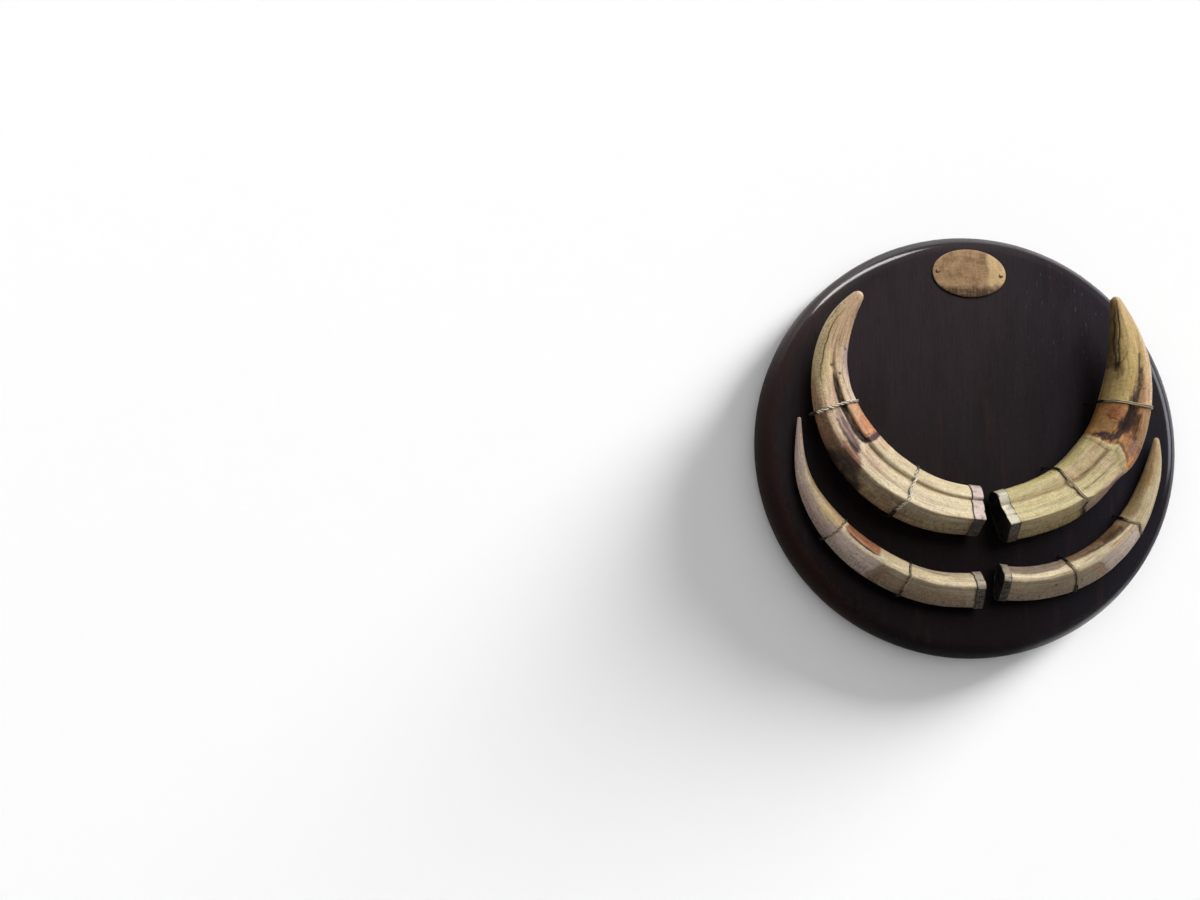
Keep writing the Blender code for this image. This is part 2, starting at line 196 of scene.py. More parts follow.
# An end plate's rings, over its back, round its edge and in across its front: share of its size, and mm in
PLATE_RINGS = ((0, 0.9), (0.6, 0.9), (0.985, 0.9), (1, 0.78), (1, 0.22), (0.985, 0.1), (0.93, 0.15),
               (0.8, 0.32), (0.6, 0.4), (0.4, 0.44), (0.2, 0.46), (0, 0.46))
# Metal finishes: clean colour, colour of tarnish and of painted shade, how far the tarnish spreads, metallic
# and roughness
SILVERS = {
    "silver_sheet_lilac": ((226, 206, 196), (64, 57, 50), 0.3, 0.35, 0.5),
    "silver_sheet_pale": ((232, 224, 198), (74, 64, 50), 0.25, 0.35, 0.5),
    "silver_sheet_grey": ((192, 178, 158), (56, 48, 38), 0.3, 0.35, 0.5),
    # Painted shade: the end plates are coloured nearly black for the deep shade they sit in
    "silver_plate_dull": ((50, 46, 38), (18, 16, 13), 0.6, 0.3, 0.4),
    "silver_wire_tarnished": ((244, 235, 214), (24, 19, 16), 0.25, 0.45, 0.4),
    "bronze_wire_tarnished": ((196, 176, 142), (24, 19, 16), 0.5, 0.6, 0.34),
}

# Wires, inner then outer: distance, mm for each half turn of twist (0 for two strands side by side), strand
# radius in mm, finish, and how far it was pushed towards the tip: points of (across, mm)
WIRES = {
    "upper_left": (
        (54, 3.7, 0.52, "silver_wire_tarnished", (-100, 0), (-85, 0.6), (-70, 1.3), (-50, 0.6), (-42, 0),
         (-20, 0.4), (0, 0.8), (15, -0.7), (30, -1), (40, -0.3), (60, 0), (100, 0)),
        (129, 3.7, 0.52, "silver_wire_tarnished", (-100, -0.6), (-80, -0.6), (-60, 0), (-20, 0.4), (20, 0.5),
         (40, 0), (60, 0.7), (80, -0.3), (100, 0)),
    ),
    "upper_right": (
        (51.3, 0, 0.42, "bronze_wire_tarnished", (-100, 0.9), (-80, 0.6), (-40, 0.2), (0, -0.1), (20, -0.2),
         (40, 0.6), (55, 2.2), (62, 0.5), (68, -1), (85, -1), (100, -0.6)),
        (122.8, 0, 0.46, "bronze_wire_tarnished", (-100, 0.2), (-80, 0.6), (-50, 0.4), (-20, 0.2), (0, 0.1),
         (40, 0), (70, -0.2), (90, 0.4), (100, 0.6)),
    ),
    "lower_left": (
        (53.8, 4.2, 0.44, "bronze_wire_tarnished", (-100, 0.3), (-80, 0.8), (-50, 1.2), (-35, 0.2),
         (-20, -0.4), (0, -0.6), (40, -0.4), (80, 0), (100, 0)),
        (112, 4.6, 0.4, "bronze_wire_tarnished", (-100, -0.2), (-80, 0.3), (-55, 0.9), (-35, 0.2),
         (-20, -0.2), (40, -0.1), (100, 0.6)),
    ),
    "lower_right": (
        (51.3, 0, 0.46, "bronze_wire_tarnished", (-100, -0.8), (-70, -0.4), (-40, 0), (-20, 1), (10, 1.4),
         (40, 0.9), (70, -0.3), (100, -1)),
        (107.7, 0, 0.42, "bronze_wire_tarnished", (-100, -0.7), (-60, -0.4), (-30, 0.4), (0, 1.8), (20, 2),
         (40, 0.6), (60, -0.7), (100, -0.7)),
    ),
}
LEG_REACH = 1.0 * MM
LEG_DEPTH = 8 * MM
LEG_FADE = 4 * MM
LEG_SWING = 0.4 * MM
TWIST_RISE = 0.4 * MM
FLAT_RISE = 0.04 * MM
WIRE_STEP = 0.3 * MM
CROWN_POINTS = 160

# Brass
NAME_CENTRE = (0.6 * MM, 120.8 * MM)
NAME_SIZE = (52.5 * MM, 34 * MM)
NAME_AIR = 0.3 * MM
NAME_THICKNESS = 0.9 * MM
NAME_TILT = radians(-4.7)
NAME_SIDES = 160
NAME_EDGE = ((0.65, 1, 1), (0.17, 0.994, 0.991), (0.06, 0.988, 0.982))     # mm forward, then shares of the size
NAME_INSETS = (1.2, 1.5, 2, 2.5, 3)
PIN_SPREAD = 22.7 * MM
PIN_SHANK = 0.7 * MM
PIN_HEAD = 1.5 * MM
PIN_LENGTH = 8 * MM
PIN_SIDES = 28
PIN_HEAD_HEIGHT = 0.78 * MM
PIN_HEAD_TURNS = (20, 40, 58, 74)

# Lines along or across a tusk: width and depth in mm, how dark, and points of (distance, across, strength)
LINES = {
    "upper_left": (
        (0.6, 0.15, 0.3, (9, -40, 0.8), (31, -42, 0.7), (50, -37, 0.7), (75, -29, 0.8), (94, -25, 1)),
        (1.7, 0.35, 0, (98, -30, 0.6), (106, -22, 1), (120, -17, 1), (135, -12, 1), (150, -2, 0.8),
         (160, 4, 0.5), (170, 12, 0.2)),
        (0.45, 0.12, 0.55, (9, 42, 0.8), (20, 43, 0.9), (30, 44, 0.7), (40, 48, 0.8), (50, 50, 0.7),
         (62, 56, 0.5)),
        (0.5, 0.1, 0.2, (8, 5, 0.6), (35, 7, 0.8), (57, 15, 1), (75, 17, 0.8), (89, 28, 0.5)),
        (0.35, 0.4, 0.95, (145, 72, 0.2), (152, 70, 0.8), (160, 68, 1), (165, 65.5, 1), (170, 62, 1),
         (180, 60, 1), (187, 56, 0.8), (193, 49, 0.3)),
        (0.3, 0.25, 0.8, (184, 90, 0.3), (190, 91, 0.9), (196, 95, 0.7)),
        (0.3, 0.05, 0.35, (204, -70, 0.2), (197, -86, 0.8), (187, -90, 0.9), (180, -92, 0.3)),
        (0.35, 0.2, 0.75, (129, -60, 0.4), (133, -58, 1), (137, -55, 0.8), (141, -57, 0.3), (145, -53, 0.8),
         (149, -50, 0.7), (153, -53, 0.2), (158, -58, 0.6), (163, -62, 0.2)),
        (0.4, 0.1, 0.5, (146, -20, 0.4), (150.3, -30, 1), (151.2, -20, 0.9), (149.5, -14, 0.3)),
    ),
    "upper_right": (
        (0.6, 0.15, 0.3, (5, -45, 0.5), (15, -43, 0.8), (38, -40, 0.9), (50, -36, 0.8), (60, -28, 0.8),
         (75, -22, 0.8), (88, -15, 0.4)),
        (0.5, 0.1, 0.3, (8, 0, 0.5), (30, 0, 0.6), (50, 2, 0.6), (58, 8, 1), (70, 14, 1), (78, 20, 0.7),
         (86, 25, 0.4)),
        (0.45, 0.12, 0.5, (3, 33, 1), (10, 32, 0.9), (25, 33, 0.6), (40, 36, 0.4)),
        (2.2, 0.2, 0, (96, -30, 0.3), (104, -10, 1), (118, 5, 1), (135, 8, 1), (148, 14, 0.8),
         (165, 38, 0.2)),
        (0.4, 0.35, 0.8, (109.5, -50, 0.7), (110.3, -62, 1), (109.6, -70, 0.9), (112, -78, 1),
         (113, -87, 0.5)),
        (0.35, 0.35, 0.95, (197, -15, 0.3), (193, -35, 0.8), (187, -55, 0.9), (178, -66, 1), (165, -77, 1),
         (151, -80, 1), (147, -84, 0.8)),
        (0.35, 0.35, 0.9, (192, -60, 0.5), (186, -85, 0.8), (176, -95, 1), (165, -93, 0.9), (155, -90, 0.9),
         (148, -88, 1)),
        (0.4, 0.25, 0.7, (150, -80, 1), (153, -66, 0.9), (156, -52, 0.8), (159, -42, 0.3)),
        (0.4, 0.25, 0.6, (150, -80, 1), (145, -70, 0.8), (142, -60, 0.4)),
        (1.1, 0.5, 0.9, (151, -86, 1), (146, -88, 0.8)),
        (0.35, 0.15, 0.4, (132, 30, 0.6), (134, 37, 0.9), (133.5, 44, 0.4)),
    ),
    "lower_left": (
        (0.5, 0.1, 0.3, (9, -80, 0.5), (30, -82, 1), (52, -84, 0.6)),
        (0.4, 0.12, 0.5, (154, -68, 0.7), (161, -50, 0.2), (166, -20, 0.6)),
        (0.5, 0.35, 0.7, (79, -42, 0.5), (84, -36, 1), (95, -35, 1), (104, -39, 0.8), (109, -50, 0.3)),
        (0.4, 0.12, 0.5, (90, -72, 0.5), (96, -66, 1), (104, -66, 0.6)),
        (0.35, 0.05, 0.3, (71, -20, 0.5), (75, 10, 1), (76, 40, 0.8), (79, 90, 0.4)),
        (0.35, 0.05, 0.3, (161, -70, 0.8), (160, -20, 0.9), (161, 20, 0.3)),
    ),
    "lower_right": (
        (0.5, 0.1, 0.35, (5, -60, 0.4), (24, -62, 0.8), (42, -68, 0.7), (49, -74, 0.4)),
        (0.6, 0.25, 0.6, (56, -80, 0.4), (70, -78, 0.9), (84, -70, 1), (96, -56, 0.9), (106, -42, 0.3)),
        (0.45, 0.05, 0.45, (66, -10, 0.4), (70, 0, 0.9), (72.5, 20, 1), (72, 50, 0.8), (73.5, 75, 0.5)),
    ),
}
# Small pits: distance, across, radius and depth in mm
PITS = {
    "upper_left": ((150.3, -32, 1.1, 0.5), (156.5, 12, 1, 0.5), (168.7, -70, 0.9, 0.1), (144, -42, 0.4, 0.2),
                   (136, -62, 0.4, 0.2), (163.5, -64, 0.4, 0.2)),
    "upper_right": ((133.6, 32, 0.5, 0.2), (128, -50, 0.4, 0.2), (144, -20, 0.4, 0.2)),
    "lower_left": ((166, -16, 0.4, 0.2), (121, 10, 0.4, 0.2), (92, 28, 0.4, 0.1)),
    "lower_right": ((37, 25, 0.8, 0.3), (55, 45, 0.7, 0.3), (101.5, 0, 0.5, 0.2), (60, 50, 0.4, 0.2)),
}
# Raised lips: half width and height in mm, and points of (distance, across, strength)
LIPS = {
    "upper_right": (
        (1.8, 0.35, (90.5, -100, 0.5), (89, -70, 1), (88, -40, 1), (89.5, -15, 1), (91.5, 0, 1), (88, 30, 1),
         (83.5, 55, 1), (80, 90, 0.5)),
    ),
    "upper_left": (
        (1.6, 0.15, (93, -95, 0.4), (94, -50, 1), (95, -20, 0.6), (92, 20, 0.6), (87, 50, 0.6)),
    ),
}
# Layers of soft hills: height, length and width of one in mm, shift and seed
GROWTH = ((0.16, 14, 7, 3, 21), (0.08, 5, 2.6, 0, 22), (0.04, 11, 0.9, 0, 23))
WANDER = ((0.3, 2.6, 3, 0, 11), (0.35, 8, 9, 0, 12))
UNEVEN_TINT = ((0.06, 12, 3.4, 0, 91), (0.05, 7, 0.9, 0, 92), (0.05, 1.9, 1.2, 0, 93),
               (0.04, 0.9, 0.8, 0, 94))
HILL_SQUARES = 64                                                   # after so many the hills repeat

# Ivory, its stains and the painted shade and highlights on it, as they look in good light
TINTS = {
    "cream": (221, 205, 170), "straw": (207, 191, 156), "pink_tan": (214, 182, 150), "tan": (180, 152, 116),
    "gold": (212, 197, 132), "olive_cream": (219, 206, 154), "pale": (236, 220, 184), "umber": (122, 94, 66),
    "dark_umber": (84, 58, 38), "orange": (220, 160, 120), "clay": (192, 130, 94), "brown": (160, 112, 70),
    "burnt": (222, 162, 102), "rust": (158, 96, 62), "plum": (90, 62, 62), "mauve": (144, 108, 102),
    "soot": (44, 27, 21), "ink": (66, 50, 52), "amber": (224, 195, 131), "moss": (150, 126, 76),
    "dark_olive": (126, 101, 64), "lilac": (200, 183, 172), "grey_tan": (146, 132, 112),
    "rosy": (198, 168, 146), "dove": (134, 118, 106), "fawn": (211, 181, 143), "wheat": (196, 178, 140),
    "blush": (226, 208, 196), "dusk": (188, 164, 158), "ochre": (182, 140, 86), "peach": (240, 207, 168),
    "hide": (158, 116, 78),
}
PATCH_HILLS = ((9, 2.8, 60), (5, 0.75, 61), (1.7, 1.3, 62))         # length, width and seed
BASE_TINT = {"upper_left": "cream", "upper_right": "olive_cream",
             "lower_left": "straw", "lower_right": "straw"}
TINT_STRENGTH = 1.1
# Stained areas, and some areas of painted shade and painted highlight, each over the last: tint, how far its
# edge fades and wanders in mm, strength, and an outline of (distance, across) points
STAINS_AND_PAINTED_LIGHT = {
    "upper_left": (
        ("peach", 5, 3, 0.95, (127, -130), (127, 130), (230, 130), (230, -130)),
        ("gold", 3, 2, 0.45, (150, 25), (170, 35), (200, 50), (206, 130), (132, 130), (138, 75)),
        ("rosy", 3, 2, 0.5, (129, 6), (150, 10), (148, 35), (140, 45), (129, 50)),
        ("pink_tan", 4, 3, 0.7, (158, -50), (170, 10), (190, 45), (205, 20), (205, -130), (158, -130)),
        ("blush", 2, 2, 0.8, (127, -130), (127, -62), (140, -55), (152, -50), (166, -45), (173, -60),
         (173, -130)),
        ("dusk", 2.5, 2, 0.7, (150, -88), (154, -55), (164, -50), (174, -65), (174, -88)),
        ("dusk", 2, 2, 0.5, (184, -90), (190, -70), (202, -70), (204, -95)),
        ("cream", 1.5, 1, 0.5, (131, -55), (131, -25), (147, -20), (148, -50)),
        ("hide", 1.5, 0.8, 0.75, (128, 78), (135, 83), (142, 88), (150, 94), (162, 102), (162, 140),
         (128, 140)),
        ("tan", 1, 0.8, 0.45, (8, -45), (30, -46), (50, -42), (70, -37), (95, -33), (95, -20), (70, -24),
         (50, -31), (30, -37), (8, -36)),
        ("umber", 1.5, 1.2, 0.4, (83, -42), (95, -38), (96, -20), (83, -22)),
        ("rosy", 4, 2, 0.75, (76, -14), (93, -20), (97, 0), (92, 30), (78, 24)),
        ("pink_tan", 2, 1.5, 0.6, (84, -130), (83, -50), (95, -42), (94, -130)),
        ("tan", 1.2, 1, 0.5, (8, 30), (50, 36), (80, 46), (80, 52), (50, 42), (8, 36)),
        ("umber", 1.5, 2, 0.6, (54, 50), (70, 53), (80, 56), (88, 62), (86, 76), (70, 74), (54, 72)),
        ("hide", 1.2, 1, 0.5, (54, 72), (70, 74), (86, 76), (84, 140), (54, 140)),
        # Painted shade: the outer side face, turned away from the light, darkened from the cut end to 55 mm
        ("umber", 1.5, 1, 0.5, (-5, 47), (30, 50), (52, 56), (55, 62), (55, 140), (-5, 140)),
        ("mauve", 0.8, 1, 0.5, (129, 5), (146, 7), (146, 15), (129, 20)),
        ("orange", 0.8, 0.8, 1, (99.5, -130), (100.5, -34), (110, -28), (122, -24), (128.5, -22),
         (128.5, -130)),
        ("clay", 1.5, 1.8, 0.7, (104, -85), (106, -50), (114, -45), (119, -60), (116, -88)),
        ("pink_tan", 1.2, 1.5, 0.55, (118, -70), (127, -75), (127, -35), (119, -32), (112, -38)),
        ("mauve", 1, 1, 0.8, (99, -130), (100, -90), (114, -92), (122, -85), (128, -80), (128, -130)),
        ("plum", 0.7, 0.8, 1, (94.2, -130), (94.8, -80), (95.6, -50), (96.5, -30), (98.3, -16), (101.8, -28),
         (101, -50), (100.4, -80), (99.5, -130)),
        ("rust", 0.6, 0.8, 0.6, (100, -130), (100.6, -80), (101.2, -50), (102, -33), (104, -36), (102.6, -55),
         (101.8, -80), (101, -130)),
        ("mauve", 1.2, 1.4, 0.95, (97, 12), (101, -3), (112, -2), (128, 2), (128, 32), (122, 40), (112, 42),
         (104, 42), (98, 38)),
        ("rosy", 1, 1.5, 0.6, (110, 20), (128, 16), (128, 36), (118, 36)),
        ("plum", 0.6, 1, 0.85, (97, 16), (104, 5), (114, 8), (121, 10), (121, 20), (112, 19), (103, 18)),
        ("plum", 0.6, 1, 0.95, (96, 24), (103, 24), (112, 28), (120, 32), (122, 41), (112, 39), (103, 37),
         (97, 36)),
        ("soot", 0.6, 0.9, 0.85, (95.5, 26), (98, 22), (102, 28), (108, 36), (118, 40), (104, 38), (96, 35)),
        ("pink_tan", 1.5, 1.5, 0.85, (104, 43), (113, 43), (124, 43), (127, 42), (127.5, 70), (115, 72),
         (106, 72), (102, 60)),
        ("rust", 1, 1.2, 0.95, (92, 36), (96, 33), (101, 40), (106, 44), (108, 60), (103, 72), (96, 76),
         (90, 70), (86, 66), (88, 55)),
        ("dark_umber", 1.2, 1.5, 0.8, (88, 58), (93, 50), (98, 54), (104, 60), (102, 72), (96, 76), (86, 74)),
        ("hide", 0.8, 0.8, 0.95, (100, 76), (112, 74), (122, 71), (129, 73), (129, 140), (100, 140)),
        ("umber", 5, 4, 0.6, (94, 66), (112, 74), (113, 140), (94, 140)),
        ("dark_umber", 2, 3.5, 0.6, (90, 42), (98, 37), (106, 47), (106, 66), (98, 76), (88, 68)),
        ("soot", 1.8, 1.6, 0.95, (76, 140), (78, 90), (82, 82), (87, 72), (92, 66), (98, 72), (103, 80),
         (106, 95), (106, 140)),
        ("soot", 0.7, 0.6, 1, (98, -24), (102, -32), (112, -28), (122, -24), (132, -21), (142, -17),
         (148, -11), (153, -4), (158, 1), (163, 5), (158, 6), (150, 6.5), (138, 5.5), (128, 3), (116, 0),
         (104, -4), (99.5, -10)),
        ("umber", 0.8, 0.8, 0.6, (154, -2), (160, 2), (170, 10), (176, 20), (168, 14), (158, 9)),
        # Painted highlight along the ridge and along the edge of the lip
        ("pale", 0.8, 0.6, 0.4, (60, 30), (80, 32), (89, 36), (93, 20), (97, 2), (98.5, -10), (96, -12),
         (92, 10), (86, 42), (60, 44)),
    ),
    "upper_right": (
        ("gold", 1, 1, 0.5, (-5, -130), (60, -130), (93, -130), (90, -84), (60, -83), (-5, -86)),
        ("fawn", 1.5, 1.5, 0.8, (54, -78), (60, -77), (88, -77), (88, -42), (54, -38)),
        ("fawn", 1.5, 1.5, 0.5, (-5, -62), (48, -60), (50, -40), (-5, -42)),
        ("tan", 1.2, 1, 0.85, (53, -40), (64, -38), (88, -34), (88, -15), (72, -16), (58, -21), (53, -27)),
        ("umber", 0.8, 1, 0.35, (56, -33), (66, -31), (86, -28), (86, -17), (72, -19), (58, -24)),
        ("rosy", 3, 2, 0.6, (70, -12), (86, -12), (84, 20), (72, 12)),
        ("umber", 0.5, 0.5, 0.55, (54, 5), (62, 7), (70, 12), (74, 16), (66, 14), (56, 10)),
        ("tan", 0.7, 0.8, 0.6, (64, 18), (76, 19), (86, 20), (86, 27), (74, 25), (66, 23)),
        ("fawn", 1.5, 1.5, 0.8, (53, 36), (70, 38), (82, 38), (82, 60), (53, 60)),
        ("dusk", 1.5, 1.5, 0.75, (50, 60), (66, 53), (78, 52), (81, 64), (80, 130), (50, 130)),
        ("mauve", 1.5, 1.5, 0.45, (68, 56), (78, 52), (81, 64), (80, 90), (70, 90)),
        # Painted shade: the side face below the ridge, turned away from the light, darkened from the cut end to
        # 53 mm
        ("umber", 1.2, 1, 0.42, (-5, 36), (30, 38), (50, 42), (53, 50), (53, 140), (-5, 140)),
        ("amber", 3, 2, 1, (121, -130), (121, 130), (230, 130), (230, -130)),
        ("fawn", 2, 2, 0.7, (124, 28), (150, 30), (172, 45), (200, 10), (200, 130), (124, 130)),
        ("burnt", 1, 1.2, 1, (93, -130), (91.4, -80), (90.2, -50), (90.6, -30), (93.2, -10), (94.2, 0),
         (91.2, 20), (88.2, 43), (84, 60), (81, 80), (82, 130), (121.6, 130), (122.2, 30), (123, -30),
         (121.5, -130)),
        ("clay", 1.5, 2, 0.75, (103, -82), (107, -45), (115, -36), (121, -45), (120.5, -84), (112, -92)),
        ("amber", 1.5, 2, 0.4, (99, -90), (104, -50), (108, -60), (110, -90)),
        ("umber", 1, 2, 0.28, (98, -95), (99, -60), (104, -46), (109, -56), (107, -80), (102, -95)),
        ("rust", 1, 1.5, 0.6, (108, -66), (113, -50), (119, -52), (118, -70), (112, -76)),
        ("mauve", 1.2, 1.5, 0.8, (90, 42), (95, 30), (102, 42), (104, 52), (98, 64), (84, 80), (83, 130),
         (96, 130), (100, 66), (92, 60)),
        ("ink", 1.8, 2.4, 1, (91.8, -95), (91, -55), (91.5, -32), (95, -20), (101, -24), (100, -45),
         (99, -78), (95.5, -98)),
        ("ink", 1.8, 2, 1, (97, -34), (108, -37), (116, -30), (123, -17), (132, -8), (142, 0), (149, 9),
         (156, 18), (150, 18), (140, 20), (126, 22), (118, 23), (112, 22), (106, 14), (101, 2), (96, -12)),
        ("ink", 2, 2.4, 0.85, (101, 26), (110, 22), (117, 24), (121, 30), (116, 39), (108, 45), (101, 42)),
        ("soot", 1.5, 2.5, 0.6, (104, -30), (112, -32), (120, -14), (120, 30), (110, 42), (104, 34)),
        ("mauve", 1, 1.5, 0.5, (126, -2), (138, 2), (140, 12), (128, 12)),
        ("mauve", 0.8, 1, 0.5, (123, -15), (134, -12), (144, -4), (140, 1), (130, -4)),
        ("brown", 1, 1.2, 0.5, (96, -2), (101, 8), (104, 20), (101, 30), (95, 28), (93.5, 14)),
        ("orange", 1, 1.2, 0.75, (116, 26), (122, 23), (128, 25), (138, 27), (143, 34), (136, 46), (124, 45),
         (118, 40)),
        ("peach", 0.8, 0.8, 0.8, (121, 46), (126, 48), (150, 50), (172, 62), (172, 130), (121, 130)),
        ("tan", 1, 1.2, 0.8, (99, 58), (104, 48), (112, 48), (122, 46), (122, 130), (96, 130)),
        ("tan", 1, 0.6, 0.35, (90.5, -130), (88.8, -80), (87.3, -50), (87.8, -30), (90, -10), (91, 2),
         (88.5, 20), (85.5, 42), (81.5, 60), (79, 80), (81, 80), (84, 60), (88.2, 42), (90.8, 20), (93.6, 0),
         (92.8, -10), (90.4, -30), (89.8, -50), (90.8, -80), (93, -130)),
        ("dark_umber", 0.6, 0.7, 0.75, (93.6, -12), (94.4, 0), (91.6, 20), (88.8, 43), (84.6, 61), (87, 62),
         (90.6, 45), (93.6, 22), (96.4, 2), (95.6, -14)),
        ("umber", 1, 1, 0.4, (148, 8), (156, 16), (166, 36), (172, 50), (164, 38), (154, 24)),
        ("dark_olive", 1, 1.2, 0.8, (147, -130), (148, -86), (152, -82), (170, -78), (180, -64), (187, -47),
         (192, -30), (196, -20), (206, -20), (206, -130)),
        ("moss", 1, 1.6, 0.6, (139, -85), (142, -62), (146, -55), (152, -66), (154, -80), (148, -94)),
        ("moss", 1, 1.6, 0.35, (150, -75), (156, -45), (163, -35), (166, -50), (160, -70)),
        ("brown", 2, 2, 0.5, (182, -40), (189, -15), (196, 0), (198, -40), (190, -50)),
    ),
    "lower_left": (
        ("grey_tan", 1, 1, 0.6, (-5, -130), (54, -130), (54, -88), (30, -82), (-5, -82)),
        ("grey_tan", 1.5, 0.8, 0.95, (-5, -20), (30, -22), (52, -20), (56, -15), (70, -15), (86, -16),
         (90, 140), (-5, 140)),
        # Painted shade: the outer face, turned down away from the light, darkened
        ("umber", 2, 2, 0.4, (12, 20), (52, 20), (76, 10), (80, 140), (10, 140)),
        ("lilac", 4, 2, 0.95, (75, -12), (80, -24), (100, -20), (112, -18), (120, -2), (118, 140), (76, 140)),
        ("dusk", 2, 2, 0.8, (112, 20), (150, 8), (170, -50), (200, -60), (200, 140), (112, 140)),
        ("blush", 3, 2, 0.45, (150, -40), (200, -60), (200, 140), (150, 140)),
        ("tan", 2, 2, 0.85, (112, -140), (112, -20), (130, -30), (150, -40), (170, -70), (170, -140)),
        ("amber", 2, 2, 0.5, (113, -60), (122, -62), (132, -50), (134, -15), (120, -10), (113, -30)),
        ("pink_tan", 1.5, 1.5, 0.6, (66, -130), (68, -86), (80, -80), (80, -130)),
        ("rust", 0.8, 1.2, 0.95, (79, -130), (78.5, -62), (79, -40), (84, -34), (100, -31), (108, -40),
         (110.5, -56), (109, -90), (106, -130)),
        ("umber", 1, 2, 0.6, (84, -110), (86, -86), (98, -90), (106, -70), (107, -110)),
        ("umber", 0.8, 1.8, 0.65, (84, -66), (92, -56), (104, -50), (106, -42), (94, -42), (84, -48)),
        ("dark_umber", 0.4, 0.6, 0.8, (79, -42), (84, -34.5), (95, -33), (104, -36.5), (109, -50), (104, -43),
         (95, -41), (84, -43), (80, -50)),
        # Painted highlight along the ridge
        ("pale", 0.7, 0.5, 0.85, (6, -42), (30, -41), (52, -38), (56, -32), (76, -30), (80, -27), (100, -27),
         (110, -32), (111, -20), (100, -18), (80, -17), (70, -19), (56, -21), (52, -26), (30, -28), (6, -28)),
        ("umber", 2, 1.5, 0.5, (66, -10), (70, 40), (70, 140), (82, 140), (77, 40), (74, -10)),
    ),
    "lower_right": (
        ("dove", 0.8, 0.8, 0.95, (-5, -59), (24, -61), (42, -67), (49, -73), (49, -140), (-5, -140)),
        ("grey_tan", 1, 0.8, 0.95, (-5, -17), (30, -17), (50, -14), (72, -10), (84, -12), (88, 140),
         (-5, 140)),
        # Painted shade: the outer face, turned down away from the light, darkened a little
        ("umber", 2, 2, 0.25, (5, 20), (48, 20), (48, 140), (5, 140)),
        ("brown", 2.5, 2.5, 0.4, (64, -15), (68, -10), (72, 0), (74, 20), (73, 50), (74.5, 80), (68, 95),
         (67, 50), (64, 20)),
        ("lilac", 3, 1.5, 0.9, (73, -10), (78, -16), (90, -14), (107, -16), (109, 140), (75, 140)),
        ("blush", 2, 2, 0.35, (92, -10), (108, -10), (108, 100), (92, 100)),
        ("fawn", 1.2, 1, 0.75, (82, -46), (92, -46), (104, -36), (108, -30), (108, -17), (82, -20)),
        ("umber", 1, 0.9, 0.95, (50, -140), (52, -78), (66, -76), (84, -68), (98, -55), (108, -44),
         (108, -140)),
        ("mauve", 1.5, 1.5, 0.3, (58, -140), (60, -90), (74, -86), (78, -140)),
        ("dark_umber", 0.7, 1, 0.85, (82, -75), (90, -64), (98, -55), (106, -47), (106, -72), (94, -85),
         (84, -95)),
        ("tan", 1, 1.2, 0.6, (100, -130), (101, -60), (107, -46), (107, -130)),
        # Painted highlight along the ridge, where the ivory is a little paler too
        ("pale", 0.6, 0.5, 0.8, (4, -56), (24, -58), (42, -62), (52, -73), (60, -72), (70, -70), (82, -64),
         (92, -53), (104, -40), (106, -30), (98, -36), (88, -46), (76, -52), (60, -54), (48, -40), (24, -38),
         (4, -36)),
        ("wheat", 2.5, 2, 0.95, (108, -140), (108, 140), (210, 140), (210, -140)),
        ("moss", 2, 2.5, 0.6, (109, -130), (110, -50), (120, -42), (134, -60), (150, -70), (150, -130)),
        ("ochre", 2, 2, 0.8, (136, -60), (150, -70), (168, -80), (168, -10), (158, -20), (150, -30),
         (140, -30)),
        ("pale", 2, 2, 0.45, (112, 10), (128, 10), (146, 20), (146, 70), (112, 80)),
    ),
}


def shade(red, green, blue):
    """A colour as the eye reads it, from 0 to 255, as linear light. More than 255 brightens what it tints."""
    parts = [channel / 255 for channel in (red, green, blue)]
    return (*[part / 12.92 if part <= 0.04045 else ((part + 0.055) / 1.055) ** 2.4 for part in parts], 1.0)


# ---------------------------------------------------------------- smooth curves and relief

def natural_spline(knots, values):
    """A smooth curve through the values: a function that gives value and slope at many places at once."""
    x = np.array(knots, float)
    y = np.array(values, float)
    h = np.diff(x)
    size = len(x)
    matrix = np.eye(size)
    right = np.zeros(size)
    for i in range(1, size - 1):
        matrix[i, i - 1:i + 2] = h[i - 1], 2 * (h[i - 1] + h[i]), h[i]
        right[i] = 6 * ((y[i + 1] - y[i]) / h[i] - (y[i] - y[i - 1]) / h[i - 1])
    bend = np.linalg.solve(matrix, right)

    def at(t):
        i = np.clip(np.searchsorted(x, t) - 1, 0, size - 2)
        a, b = x[i + 1] - t, t - x[i]
        slope = (y[i + 1] - y[i]) / h[i]
        value = (bend[i] * a ** 3 + bend[i + 1] * b ** 3) / (6 * h[i])
        value += (y[i] / h[i] - bend[i] * h[i] / 6) * a + (y[i + 1] / h[i] - bend[i + 1] * h[i] / 6) * b
        rate = (bend[i + 1] * b ** 2 - bend[i] * a ** 2) / (2 * h[i]) + slope
        return value, rate - (bend[i + 1] - bend[i]) * h[i] / 6
    return at


def ease(value):
    value = np.clip(value, 0, 1)
    return value * value * (3 - 2 * value)


def hills(x, y, seed):
    """Smooth seeded ups and downs between -1 and 1, one for each unit square."""
    lattice = np.random.default_rng(seed).uniform(-1, 1, (HILL_SQUARES, HILL_SQUARES))
    column, row = np.floor(x).astype(int), np.floor(y).astype(int)
    across, up = ease(x - column), ease(y - row)
    here, beyond = column % HILL_SQUARES, (column + 1) % HILL_SQUARES
    low, high = [lattice[here, side] * (1 - across) + lattice[beyond, side] * across
                 for side in (row % HILL_SQUARES, (row + 1) % HILL_SQUARES)]
    return low * (1 - up) + high * up


def hill_layers(layers, along, sideways, seed=0):
    return sum(height * hills(along / long, sideways / wide + shift, number + seed)
               for height, long, wide, shift, number in layers)


